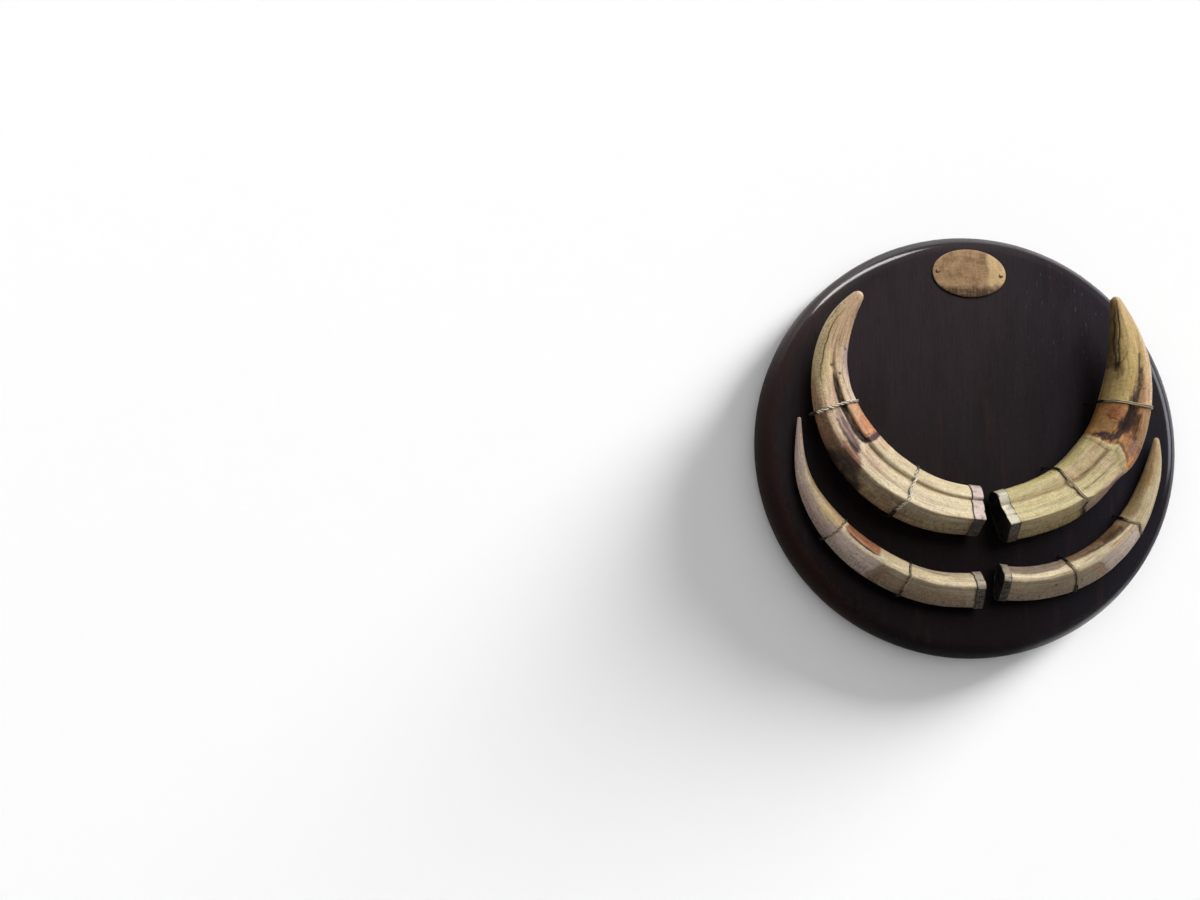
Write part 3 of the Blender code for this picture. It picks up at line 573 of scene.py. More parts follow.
def near_line(x, y, line):
    """Distance from each place to a drawn line of (x, y, strength) points, and the strength there."""
    best = np.full(x.shape, 1e9)
    strength = np.zeros(x.shape)
    for (ax, ay, a), (bx, by, b) in zip(line, line[1:]):
        dx, dy = bx - ax, by - ay
        t = np.clip(((x - ax) * dx + (y - ay) * dy) / (dx * dx + dy * dy + 1e-12), 0, 1)
        far = np.hypot(x - ax - t * dx, y - ay - t * dy)
        closer = far < best
        best = np.where(closer, far, best)
        strength = np.where(closer, a + (b - a) * t, strength)
    return best, strength


def inside(x, y, outline):
    """How far each place is inside a closed outline, negative outside it."""
    loop = [(*point, 0) for point in outline]
    far, _ = near_line(x, y, loop + loop[:1])
    within = np.zeros(x.shape, bool)
    for (ax, ay), (bx, by) in zip(outline, outline[1:] + outline[:1]):
        crosses = (ay > y) != (by > y)
        within ^= crosses & (x < (bx - ax) * (y - ay) / (by - ay + 1e-12) + ax)
    return np.where(within, far, -far)


def run_of(points):
    """How far along a line of points each one is."""
    return np.concatenate([[0], np.cumsum(np.linalg.norm(np.diff(points, axis=0), axis=1))])


def outward_of(route):
    """Directions one unit long, square to a line of points."""
    slope = np.gradient(route, axis=0)
    outward = np.stack([-slope[:, 1], slope[:, 0]], 1)
    return outward / np.linalg.norm(outward, axis=1, keepdims=True)


def soften(values, times):
    """Even out a row of values in place, but for its ends."""
    for _ in range(times):
        values[1:-1] = (values[:-2] + 2 * values[1:-1] + values[2:]) / 4


class Tusk:
    """One tusk's centre line and cross-sections, read at distances from its cut end."""

    def __init__(self, name):
        rows = np.array(TUSKS[name]) * MM
        self.name = name
        self.pair = name.split("_")[0]
        self.side = 1.0 if name.endswith("left") else -1.0
        self.x, self.z, self.width = [natural_spline(SHARES, rows[:, i]) for i in range(3)]
        self.steps = np.linspace(0, 1, LENGTH_STEPS + 1)
        self.walked = run_of(np.stack([self.x(self.steps)[0], self.z(self.steps)[0]], 1))
        self.length = self.walked[-1]
        self.end_radius = self.width(np.array([1.0]))[0][0] / 2

    def size(self, distance):
        """Width, depth and the underside's height above the board."""
        share = np.interp(distance, self.walked, self.steps)
        width = self.width(share)[0]
        depth = width * np.interp(share, *zip(*DEPTH[self.pair]))
        lift = np.interp(share, *zip(*LIFT[self.pair])) * MM
        past = np.clip((distance - self.length + self.end_radius) / self.end_radius, 0, 1)
        narrowing = np.sqrt(np.clip(1 - past ** 2, 0, 1))
        return width * narrowing, depth * narrowing, lift + depth * (1 - narrowing) / 2

    def half_width(self, distance):
        return float(self.size(np.array([distance]))[0][0]) / 2

    def place(self, distance, across, height):
        """Points in space, from a distance along, and metres across and above the board's face."""
        share = np.interp(distance, self.walked, self.steps)
        x, dx = self.x(share)
        z, dz = self.z(share)
        run = np.hypot(dx, dz)
        return np.stack([x - dz / run * self.side * across, -BOARD_THICKNESS - height + 0 * x,
                         z + dx / run * self.side * across], -1)

    def section(self, distance, turns):
        """Cross-section points at each distance and each turn, where one turn is one drawn point."""
        stations = SECTIONS[self.name]
        drawn = np.array([points + UNDERSIDE for _, *points in stations]) / 100
        reach = np.array([station[0] for station in stations]) * MM
        i = np.clip(np.searchsorted(reach, distance) - 1, 0, len(reach) - 2)
        blend = ease((distance - reach[i]) / (reach[i + 1] - reach[i]))[:, None, None]
        points = drawn[i] * (1 - blend) + drawn[i + 1] * blend
        k = np.floor(turns).astype(int)
        t = (turns - k)[None, :, None]
        a, b, c, d = [points[:, (k + step) % points.shape[1]] for step in (-1, 0, 1, 2)]
        curve = (2 * a - 5 * b + 4 * c - d) * t ** 2 + (3 * b - a - 3 * c + d) * t ** 3
        return 0.5 * (2 * b + (c - a) * t + curve)

    def sized(self, section, distance):
        """Sections in metres across and up, and the height of the underside at each."""
        width, depth, lift = self.size(distance)
        return section * np.stack([width / 2, depth], 1)[:, None], lift[:, None]


def turns_round(count):
    """Where the points round a cross-section sit, closer together on the top than underneath."""
    on_top = int(count * TOP_SHARE)
    top = np.linspace(0, TOP_POINTS, on_top, endpoint=False)
    return np.concatenate([top, np.linspace(0, len(UNDERSIDE), count - on_top + 1) + TOP_POINTS])


def pushed_out(points, amount):
    """Closed cross-sections with each point moved outwards, in metres across and up."""
    ahead = np.roll(points[:, :-1], -1, 1) - np.roll(points[:, :-1], 1, 1)
    normal = np.stack([-ahead[..., 1], ahead[..., 0]], -1)
    normal = normal / (np.linalg.norm(normal, axis=-1, keepdims=True) + 1e-12)
    return points + np.concatenate([normal, normal[:, :1]], 1) * amount[..., None]


# ---------------------------------------------------------------- modelling by hand

def pick(*pieces):
    """Leave edit mode and select only these pieces, with the first one active."""
    if bpy.context.object and bpy.context.object.mode != "OBJECT":
        bpy.ops.object.mode_set(mode="OBJECT")
    bpy.ops.object.select_all(action="DESELECT")
    for piece in pieces:
        piece.select_set(True)
    if pieces:
        bpy.context.view_layer.objects.active = pieces[0]


def edit(piece):
    """Go into edit mode with all of a piece selected."""
    pick(piece)
    bpy.ops.object.mode_set(mode="EDIT")
    bpy.ops.mesh.select_all(action="SELECT")


def face_out():
    """Point the faces of the piece being edited outwards, and leave edit mode."""
    bpy.ops.mesh.select_all(action="SELECT")
    bpy.ops.mesh.normals_make_consistent(inside=False)
    bpy.ops.object.mode_set(mode="OBJECT")


def settle(piece):
    """Put the piece's place into its mesh, so that its object sits at the origin."""
    pick(piece)
    bpy.ops.object.transform_apply(location=True, rotation=True, scale=True)


def named(name):
    """The object just made, under its name."""
    piece = bpy.context.object
    piece.name = piece.data.name = name
    return piece


def modify(piece, kind, **settings):
    """Apply one modifier to a piece."""
    pick(piece)
    modifier = piece.modifiers.new(kind.lower(), kind)
    for key, value in settings.items():
        setattr(modifier, key, value)
    bpy.ops.object.modifier_apply(modifier=modifier.name)


def disc(name, sides, radius, place=(0, 0, 0), fill="NGON"):
    """A flat disc that faces along Y, in edit mode with all of it selected."""
    pick()
    bpy.ops.mesh.primitive_circle_add(vertices=sides, radius=radius, fill_type=fill, location=place,
                                      rotation=FACING_Y)
    piece = named(name)
    settle(piece)
    edit(piece)
    return piece


def grow(move, wide, high, centre=(0, 0, 0)):
    """Extrude what is selected along Y, then scale it about a centre."""
    bpy.ops.mesh.extrude_region_move(TRANSFORM_OT_translate={"value": (0, move, 0)})
    bpy.ops.transform.resize(value=(wide, 1, high), center_override=centre)


def turn_profile(profile, radius, level, x=0.0, z=0.0):
    """Draw the selected disc out through radii and levels, as on a lathe."""
    for wider, further in profile:
        grow(further - level, wider / radius, wider / radius, (x, further, z))
        radius, level = wider, further


def points_of(mesh):
    flat = np.empty(len(mesh.vertices) * 3)
    mesh.vertices.foreach_get("co", flat)
    return flat.reshape(-1, 3)


def paint_on(mesh, label, values):
    """Keep a named value or colour for each point of a mesh."""
    if values.ndim == 2:
        layer = mesh.attributes.new(label, "FLOAT_COLOR", "POINT")
        layer.data.foreach_set("color", np.concatenate([values, np.ones((len(values), 1))], 1).ravel())
    else:
        mesh.attributes.new(label, "FLOAT", "POINT").data.foreach_set("value", values)


def rolled_tube(name, places, grain, painted, filled=True):
    """A sheet of quads rolled into a tube, its long seam welded and its ends filled.

    places is ring by ring, with the first point repeated at its end, grain is each point's place on the
    unrolled sheet, and painted holds named values for each point.
    """
    rings, around = places.shape[:2]
    pick()
    bpy.ops.mesh.primitive_grid_add(x_subdivisions=around - 1, y_subdivisions=rings - 1, size=2)
    sheet = named(name)
    mesh = sheet.data
    flat = points_of(mesh)
    column, row = [np.rint((flat[:, i] + 1) / 2 * (count - 1)).astype(int)
                   for i, count in ((0, around), (1, rings))]
    mesh.vertices.foreach_set("co", places[row, column].ravel())
    corner = np.empty(len(mesh.loops), int)
    mesh.loops.foreach_get("vertex_index", corner)
    mesh.uv_layers[0].name = "grain"
    mesh.uv_layers[0].uv.foreach_set("vector", grain[row, column][corner].ravel())
    for label, values in painted.items():
        paint_on(mesh, label, values[row, column])
    mesh.update()
    edit(sheet)
    bpy.ops.mesh.remove_doubles(threshold=WELD)
    if filled:
        bpy.ops.mesh.select_all(action="DESELECT")
        bpy.ops.mesh.select_non_manifold(extend=False, use_wire=False, use_boundary=True,
                                         use_multi_face=False, use_non_contiguous=False, use_verts=False)
        bpy.ops.mesh.edge_face_add()
    face_out()
    return sheet


def dress(piece, finish, crease):
    """Smooth a piece up to a crease angle, and let it stand for the node that it is named after."""
    pick(piece)
    bpy.ops.object.shade_smooth_by_angle(angle=radians(crease))
    piece.data.materials.clear()
    piece.data.materials.append(finish)
    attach(piece, "root")
    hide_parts(piece.name.removesuffix("_finished"))


# ---------------------------------------------------------------- nodes

class Nodes:
    """Puts nodes in a tree. Each call gives what the new node puts out."""

    def __init__(self, tree):
        self.tree = tree

    def join(self, value, socket):
        """Link another node's output to a socket, or set the socket to a plain value."""
        if isinstance(value, bpy.types.NodeSocket):
            self.tree.links.new(value, socket)
        else:
            socket.default_value = value

    def add(self, kind, inputs=None, **settings):
        node = self.tree.nodes.new("ShaderNode" + kind)
        for key, value in settings.items():
            setattr(node, key, value)
        for key, value in (inputs or {}).items():
            self.join(value, node.inputs[key])
        return node.outputs

    def math(self, operation, first, second=0.5):
        return self.add("Math", {0: first, 1: second}, operation=operation)[0]

    def plus(self, first, second):
        return self.math("ADD", first, second)

    def minus(self, first, second):
        return self.math("SUBTRACT", first, second)

    def times(self, first, *others):
        for other in others:
            first = self.math("MULTIPLY", first, other)
        return first

    def between(self, value, low, high, least=0.0, most=1.0):
        """Smooth steps from least to most as the value goes from low to high."""
        limits = {0: value, 1: low, 2: high, 3: least, 4: most}
        return self.add("MapRange", limits, interpolation_type="SMOOTHSTEP")[0]

    def mixed(self, share, first, second, blend="MIX"):
        return self.add("Mix", {0: share, 6: first, 7: second}, data_type="RGBA", blend_type=blend)[2]

    def layered(self, colour, blend, *layers):
        """A colour under layers of (mask, strength, tint)."""
        for mask, strength, tint in layers:
            colour = self.mixed(self.times(mask, strength), colour, shade(*tint), blend)
        return colour

    def stretched(self, place, scale):
        return self.add("Mapping", {"Vector": place, "Scale": scale})[0]

    def clouds(self, place, scale, detail, roughness, stretch=None):
        if stretch:
            place = self.stretched(place, stretch)
        given = {"Vector": place, "Scale": scale, "Detail": detail, "Roughness": roughness}
        return self.add("TexNoise", given)[0]

    def painted(self, label, output="Fac"):
        return self.add("Attribute", attribute_name=label, attribute_type="GEOMETRY")[output]

    def soaked(self, patch, place, scale, wander, soft):
        given = {"Patch": patch, "Place": place, "Scale": scale, "Wander": wander, "Soft": soft}
        return self.add("Group", given, node_tree=SOAKED_EDGE)["Mask"]

    def rubbed(self, place, scale):
        return self.add("Group", {"Place": place, "Scale": scale}, node_tree=RUBBING_MARKS)


def new_group(name, inputs, outputs):
    """A shared effect: its nodes, what it is given and what it puts out."""
    group = bpy.data.node_groups.new(name, "ShaderNodeTree")
    for label, default in inputs.items():
        kind = "NodeSocketVector" if default is None else "NodeSocketFloat"
        socket = group.interface.new_socket(name=label, in_out="INPUT", socket_type=kind)
        if default is not None:
            socket.default_value = default
    for label in outputs:
        group.interface.new_socket(name=label, in_out="OUTPUT", socket_type="NodeSocketFloat")
    return Nodes(group), group.nodes.new("NodeGroupInput").outputs, group.nodes.new("NodeGroupOutput").inputs


def soaked_edge_group():
    """A painted patch whose edge wanders and breaks into streaks, as a stain soaks in or tarnish spreads."""
    n, given, result = new_group(
        "soaked_edge", {"Patch": 0.0, "Place": None, "Scale": 100.0, "Wander": 0.5, "Soft": 0.2}, ["Mask"])
    drift = n.clouds(given["Place"], given["Scale"], 5, 0.6)
    reached = n.plus(given["Patch"], n.times(n.minus(drift, 0.5), given["Wander"]))
    n.join(n.between(reached, n.minus(0.5, given["Soft"]), n.plus(0.5, given["Soft"])), result["Mask"])
    return n.tree


def rubbing_marks_group():
    """Fine rubbing marks for worn metal: a mask and a height."""
    n, given, result = new_group("rubbing_marks", {"Place": None, "Scale": 900.0}, ["Marks", "Height"])
    crossed = n.times(*[n.clouds(given["Place"], given["Scale"], 2, 0.6, stretch)
                        for stretch in ((1, 1, 0.12), (0.14, 1, 1))])
    n.join(n.between(crossed, 0.2, 0.42), result["Marks"])
    n.join(crossed, result["Height"])
    return n.tree


SOAKED_EDGE = soaked_edge_group()
RUBBING_MARKS = rubbing_marks_group()


class Finish(Nodes):
    """A material, with its Principled shader's plain values set on its own sockets."""

    def __init__(self, name, **constants):
        self.made = bpy.data.materials.new(name)
        self.made.use_nodes = True
        super().__init__(self.made.node_tree)
        self.shader = self.tree.nodes["Principled BSDF"]
        self.wear(**constants)

    def wear(self, **values):
        """Give the shader plain values or patterns, by the names of its sockets."""
        for key, value in values.items():
            self.join(value, self.shader.inputs[key.replace("_", " ")])

    def raised(self, height, strength, distance):
        given = {"Height": height, "Strength": strength, "Distance": distance}
        self.wear(Normal=self.add("Bump", given)[0])


# ---------------------------------------------------------------- materials

def ivory_finish():
    """Old waxed ivory: soaked stains, painted shade and painted highlights under fine fibres, a fine weave
    across, open pores and dark cracks.
    """
    n = Finish("tusk_ivory_waxed", IOR=1.5, Coat_Roughness=0.25, Specular_IOR_Level=0.3)
    place = n.add("UVMap", uv_map="grain")[0]
    fibres, bands, mottle, speckle, lines, weave, pores = [
        n.clouds(place, 1, detail, roughness, (across, along, 1)) for across, along, detail, roughness in (
            (1900, 90, 4, 0.6), (420, 16, 3, 0.5), (320, 170, 5, 0.7), (1000, 620, 4, 0.75),
            (950, 36, 3, 0.6), (300, 1000, 3, 0.7), (2600, 1100, 1, 0.5))]
    woven = n.times(n.between(weave, 0.45, 0.6), n.painted("weave"))
    open_pores = n.between(pores, 0.66, 0.74)
    dark = n.add("Clamp", {"Value": n.painted("crack")})[0]
    colour = n.layered(n.painted("stain", "Color"), "MULTIPLY",
                       (n.between(bands, 0.4, 0.7), 0.25, (196, 178, 150)),
                       (n.between(mottle, 0.5, 0.68), 0.3, (192, 168, 142)),
                       (n.between(speckle, 0.52, 0.62), 0.25, (186, 160, 138)),
                       (n.between(speckle, 0.46, 0.36), 0.5, (286, 284, 281)),
                       (n.between(fibres, 0.5, 0.7), 0.45, (182, 156, 130)),
                       (n.between(lines, 0.54, 0.66), 0.45, (160, 132, 104)),
                       (woven, 0.5, (150, 124, 100)),
                       (open_pores, 0.45, (110, 80, 56)))
    n.wear(Base_Color=n.layered(colour, "MIX", (dark, 1, (36, 24, 18))),
           Roughness=n.plus(n.between(mottle, 0.3, 0.7, 0.42, 0.58), n.times(dark, 0.3)),
           Coat_Weight=n.between(bands, 0.3, 0.7, 0.08, 0.2))
    height = n.plus(fibres, n.times(n.plus(woven, lines), -0.5))
    n.raised(n.minus(height, open_pores), 0.35, 0.2 * MM)
    return n.made


def wood_finish():
    """Near-black stained wood with open pores along the grain, dusty flecks and a polished, worn rim."""
    n = Finish("stained_wood_waxed", IOR=1.45, Coat_Roughness=0.15, Specular_IOR_Level=0.03)
    place = n.add("TexCoord")["Object"]
    x, _, z = n.add("SeparateXYZ", {0: place})
    ring = n.math("SQRT", n.plus(n.times(x, x), n.times(z, z)))
    grain, figure, pores, streaks, dust, dashes = [
        n.clouds(place, scale, detail, roughness, (1, 1, tall)) for scale, detail, roughness, tall in (
            (900, 4, 0.6, 0.06), (30, 5, 0.6, 0.3), (1700, 2, 0.5, 0.07), (110, 4, 0.6, 0.12),
            (1300, 1, 0.4, 1), (700, 1, 0.4, 0.25))]
    on_left = n.between(x, -0.04, -0.12)
    on_rim = n.between(ring, 0.134, 0.145)
    worn = n.soaked(n.times(on_rim, on_left), n.stretched(place, (1, 1, 0.25)), 900, 2.2, 0.2)
    open_pores = n.between(pores, 0.6, 0.7)
    rubbed_dashes = n.times(n.between(dashes, 0.7, 0.76), n.between(x, 0.02, 0.06), n.between(z, 0.04, 0.08))
    flecks = n.math("MAXIMUM", n.between(dust, 0.72, 0.77), rubbed_dashes)
    # Painted sheen: the face's colour runs lighter towards the top, and its right side takes a bluish painted
    # sheen
    colour = n.layered(n.mixed(n.between(z, -0.12, 0.13), shade(29, 24, 25), shade(60, 53, 56)), "MIX",
                       (n.between(x, 0, 0.12), 0.5, (44, 44, 54)),
                       (n.between(figure, 0.45, 0.7), 0.35, (34, 27, 29)),
                       (n.between(streaks, 0.55, 0.72), 0.22, (70, 48, 45)),
                       (n.between(grain, 0.45, 0.68), 0.16, (24, 19, 20)),
                       (worn, 0.25, (78, 46, 34)),
                       (open_pores, 0.22, (12, 9, 10)),
                       (flecks, 0.26, (120, 112, 110)))
    # The polish is patchy, has worn off the left and the bottom of the rim, and thins on its outermost edge
    dulled = n.math("MAXIMUM", n.times(on_left, n.between(z, 0.09, 0.04)),
                    n.times(n.between(z, -0.03, -0.09), n.between(x, 0.07, 0.02)))
    # On the right the shine is narrower low down and weaker on the outermost edge
    spared = n.times(n.between(z, -0.07, 0.02, 0.4, 1), n.between(ring, 0.1428, 0.1455, 1, 0.5))
    polish = n.times(n.between(ring, 0.1345, 0.139, 0, 0.9), n.between(ring, 0.1482, 0.1455, 0.35, 1),
                     n.minus(1, dulled), n.between(figure, 0.3, 0.6, 0.75, 1),
                     n.minus(1, n.times(n.between(x, 0.09, 0.12), n.minus(1, spared))))
    n.wear(Base_Color=colour, Roughness=n.between(grain, 0.3, 0.7, 0.42, 0.6),
           Coat_Weight=n.plus(polish, 0.015))
    n.raised(n.minus(n.times(grain, 0.5), open_pores), 0.12, 0.2 * MM)
    return n.made


def silver_finish(name, clean, tarnish_and_shade_colour, spread, metallic, rough):
    """Hand-worked silver with brown tarnish in its seams and low places, and painted shade where the piece
    marks it.
    """
    n = Finish(name, Metallic=metallic)
    place = n.add("TexCoord")["Object"]
    marks = n.rubbed(place, 1400)
    blotch = n.clouds(place, 160, 4, 0.6)
    specks = n.clouds(place, 900, 3, 0.7)
    dull = n.soaked(n.plus(n.painted("grime"), n.times(blotch, spread)), place, 600, 0.5, 0.3)
    colour = n.layered(n.mixed(dull, shade(*clean), shade(*tarnish_and_shade_colour)), "MULTIPLY",
                       (n.between(specks, 0.5, 0.72), 0.45, (128, 112, 98)))
    n.wear(Base_Color=n.layered(colour, "MIX", (marks["Marks"], 0.2, (226, 218, 206))),
           Roughness=n.plus(n.between(blotch, 0.3, 0.7, rough - 0.06, rough + 0.08), n.times(dull, 0.15)))
    n.raised(marks["Height"], 0.3, 0.1 * MM)
    return n.made


def brass_finish():
    """Aged brass, brighter at one end and dark with patina along its lower edge."""
    n = Finish("aged_brass_patina", Metallic=0.75)
    place = n.add("TexCoord")["Object"]
    x, _, z = n.add("SeparateXYZ", {0: place})
    marks = n.rubbed(place, 1100)
    blotch = n.clouds(place, 120, 5, 0.65)
    specks = n.clouds(place, 700, 4, 0.7)
    colour = n.layered(n.mixed(n.between(blotch, 0.35, 0.7), shade(166, 134, 99), shade(140, 111, 80)), "MIX",
                       (n.soaked(n.between(x, 0.010, 0.018), place, 150, 0.5, 0.35), 0.75, (218, 188, 140)),
                       (n.soaked(n.between(z, 0.1175, 0.1045), place, 260, 0.9, 0.3), 0.9, (66, 48, 32)))
    colour = n.layered(colour, "MULTIPLY", (n.between(specks, 0.52, 0.7), 0.5, (120, 96, 76)))
    n.wear(Base_Color=n.layered(colour, "MIX", (marks["Marks"], 0.15, (226, 200, 156))),
           Roughness=n.between(blotch, 0.3, 0.7, 0.4, 0.55))
    n.raised(marks["Height"], 0.3, 0.1 * MM)
    return n.made


# ---------------------------------------------------------------- tusks

def tusk_distances(tusk, rings):
    """Distances of the rings: even along the tusk, then closing up evenly round the end."""
    straight = np.linspace(TUSK_START, tusk.length - tusk.end_radius, rings - END_RINGS)
    turn = np.linspace(0, pi / 2, END_RINGS + 1)[1:]
    return np.concatenate([straight, tusk.length - tusk.end_radius * (1 - np.sin(turn))])


def drawn_on(points, along, half):
    """Points of (distance, across, ...) with the second number turned into mm across the tusk."""
    wide = np.interp([point[0] for point in points], along[:, 0], half[:, 0]) / MM / 100
    return [(point[0], point[1] * at, *point[2:]) for point, at in zip(points, wide)]


def carve(tusk, along, sideways, half):
    """Height change in metres and darkness, from the drawn lines, pits and lips and the tusk's own growth."""
    wander = hill_layers(WANDER, along, sideways)
    change = np.zeros(along.shape)
    dark = np.zeros(along.shape)
    for width, depth, darkness, *points in LINES[tusk.name]:
        far, strength = near_line(along, sideways + wander, drawn_on(points, along, half))
        cut = np.exp(-(far / width) ** 2) * strength
        change -= cut * depth * MM
        dark = np.maximum(dark, cut * darkness)
    for place, over, radius, depth in PITS[tusk.name]:
        ((_, middle),) = drawn_on(((place, over),), along, half)
        cut = np.exp(-(np.hypot(along - place, sideways - middle) / radius) ** 2)
        change -= cut * depth * MM
        dark = np.maximum(dark, cut * 0.9)
    change += hill_layers(GROWTH, along, sideways, len(tusk.name)) * MM
    change = np.minimum(change, 0.02 * MM)
    for width, height, *points in LIPS.get(tusk.name, ()):
        far, strength = near_line(along + wander, sideways, drawn_on(points, along, half))
        change += height * MM * strength * np.exp(-(far / width) ** 4)
    return change, dark


def paint(tusk, along, sideways, half):
    """Each point's colour: the plain ivory, then every stain, painted shade and painted highlight over the
    last, soaking in along the fibres.
    """
    colour = np.tile(np.array(shade(*TINTS[BASE_TINT[tusk.name]])[:3]), along.shape + (1,))
    for number, (tint, fade, wander, strength, *outline) in enumerate(STAINS_AND_PAINTED_LIGHT[tusk.name]):
        broad, fine, spots = [hills(along / long, sideways / wide, seed + number)
                              for long, wide, seed in PATCH_HILLS]
        depth = inside(along, sideways, drawn_on(outline, along, half))
        depth = depth + wander * (0.5 * broad + 0.55 * fine + 0.4 * spots)
        cover = strength * ease(0.5 + depth / (2 * fade)) * (1 - 0.12 * np.clip(fine + spots, 0, 1))
        colour += (np.array(shade(*TINTS[tint])[:3]) - colour) * cover[..., None]
    uneven = 1 + hill_layers(UNEVEN_TINT, along, sideways)
    return np.clip(colour * uneven[..., None] * TINT_STRENGTH, 0, 0.9)


def make_tusk(tusk, finish):
    around, rings = TUSK_MESH[tusk.pair]
    distance = tusk_distances(tusk, rings)
    turns = turns_round(around)
    section = tusk.section(distance, turns)
    points, lift = tusk.sized(section, distance)
    across = section[..., 0]
    along = distance[:, None] / MM + 0 * across
    half = np.interp(distance, tusk.walked, tusk.width(tusk.steps)[0] / 2)[:, None] + 0 * across
    sideways = across * half / MM
    under = ease((turns - TOP_POINTS) / 0.7) * ease((TOP_POINTS + len(UNDERSIDE) - turns) / 0.7)
    change, dark = carve(tusk, along, sideways, half)
    closing = np.clip((tusk.length - distance) / tusk.end_radius, 0, 1)[:, None]
    points = pushed_out(points, change * (1 - 0.7 * under) * closing)
    places = tusk.place(distance[:, None], points[..., 0], points[..., 1] + lift)
    # The weave shows most on the outer side, which was rubbed least
    painted = {"stain": paint(tusk, along, sideways, half),
               "crack": dark * (1 - under),
               "weave": 0.25 + 0.75 * ease((across - 0.45) / 0.35)}
    girth = run_of(section[rings // 3]) * np.median(tusk.size(distance)[0]) / 2
    grain = np.stack([girth + 0 * along, along * MM], -1)
    piece = rolled_tube(tusk.name + "_tusk_finished", places, grain, painted)
    dress(piece, finish, 60)


# ---------------------------------------------------------------- silver fittings

def make_collar(tusk, length, underside_shade, finish):
    """A band of thin sheet pressed round the cut end, dented, with a lap seam under the ridge."""
    around, rings = COLLAR_MESH
    turns = turns_round(around)
    reach = np.linspace(0, 1, rings)[:, None]
    over = turns[None, :]
    seed = COLLAR_SEED + len(tusk.name)
    wavy = 1 + 0.09 * hills(over / 2.3, 0.5, seed)
    distance = reach * length * np.where(reach > 0, wavy, 1)
    points, lift = tusk.sized(tusk.section(np.full(rings, END_SECTION), turns), reach[:, 0] * length)
    lip = LIP_HEIGHT * (np.exp(-(reach / 0.07) ** 2) + np.exp(-((1 - reach) / 0.07) ** 2))
    hammer = hills(reach * length / DENT_WIDTH, over * 0.8, seed + 1)
    dent = -DENT_DEPTH * ease(-hammer * 1.6) + 0.02 * MM * hills(reach * 8, over * 4, seed + 2)
    seam = np.exp(-((over - SEAM_AT[tusk.pair]) / 0.09) ** 2)
    points = pushed_out(points, COLLAR_FACE + lip + dent - SEAM_DEPTH * seam)
    places = tusk.place(distance, points[..., 0], points[..., 1] + lift)
    # Painted shade: the collar's underside, which faces away from the light, is darkened
    shaded = ease(1.4 * (over - UNDER_FROM[tusk.pair])) * underside_shade
    edge = 0.3 * np.exp(-(reach / 0.06) ** 2) + 0.5 * np.exp(-((1 - reach) / 0.07) ** 2)
    grime = np.clip(0.35 * ease(-hammer) + 0.8 * seam + shaded + edge, 0, 1.2)
    grain = np.stack([over * 2 * MM + 0 * distance, distance], -1)
    piece = rolled_tube(tusk.name + "_collar_finished", places, grain, {"grime": grime}, filled=False)
    modify(piece, "SOLIDIFY", thickness=COLLAR_SHEET, offset=-1)
    dress(piece, finish, 50)


def make_end_plate(tusk, finish):
    """The flat plate let into the collar, dished a little and dulled by handling, its silver painted nearly
    black as shade.
    """
    spread, level = np.array(PLATE_RINGS).T[..., None]
    level = level * MM
    rings = len(spread)
    section = tusk.section(np.full(rings, END_SECTION), turns_round(PLATE_POINTS))
    points, lift = tusk.sized(section, np.zeros(rings))
    middle = np.array([0, tusk.size(np.zeros(1))[1][0] * 0.42])
    points = middle + (points - middle) * spread[..., None]
    dish = 0.08 * MM * hills(points[..., 0] / (3 * MM), points[..., 1] / (3 * MM), PLATE_SEED)
    distance = level + np.where((spread < 0.9) & (level < level.max()), dish, 0)
    places = tusk.place(distance, points[..., 0], points[..., 1] + lift)
    grime = 0.45 + 0.3 * hills(points[..., 0] / (5 * MM), points[..., 1] / (5 * MM), PLATE_SEED + 1)
    piece = rolled_tube(tusk.name + "_end_plate_finished", places, points, {"grime": grime})
    dress(piece, finish, 50)


def crown_route(tusk, at, height):
    """The taut line over a tusk's top in metres across and up, with its two legs down into the board."""
    there = np.array([at])
    points, lift = tusk.sized(tusk.section(there, np.linspace(0, TOP_POINTS, CROWN_POINTS)), there)
    points, lift = points[0], lift[0, 0]
    crown = []
    for point in points[np.argmin(points[:, 0]):np.argmax(points[:, 0]) + 1]:
        while len(crown) > 1 and np.cross(crown[-1] - crown[-2], point - crown[-2]) >= 0:
            crown.pop()
        crown.append(point)
    crown = np.array(crown)
    crown = crown + outward_of(crown) * height
    reach = tusk.half_width(at) + LEG_REACH
    foot = -lift - LEG_DEPTH
    knee = -lift + 0.5 * MM
    route = np.array([(-reach, foot), (-reach, knee), *crown, (reach, knee), (reach, foot)])
    walked = run_of(route)
    even = np.linspace(0, walked[-1], int(walked[-1] / WIRE_STEP))
    route = np.stack([np.interp(even, walked, route[:, i]) for i in (0, 1)], 1)
    soften(route, 6)
    return route, lift


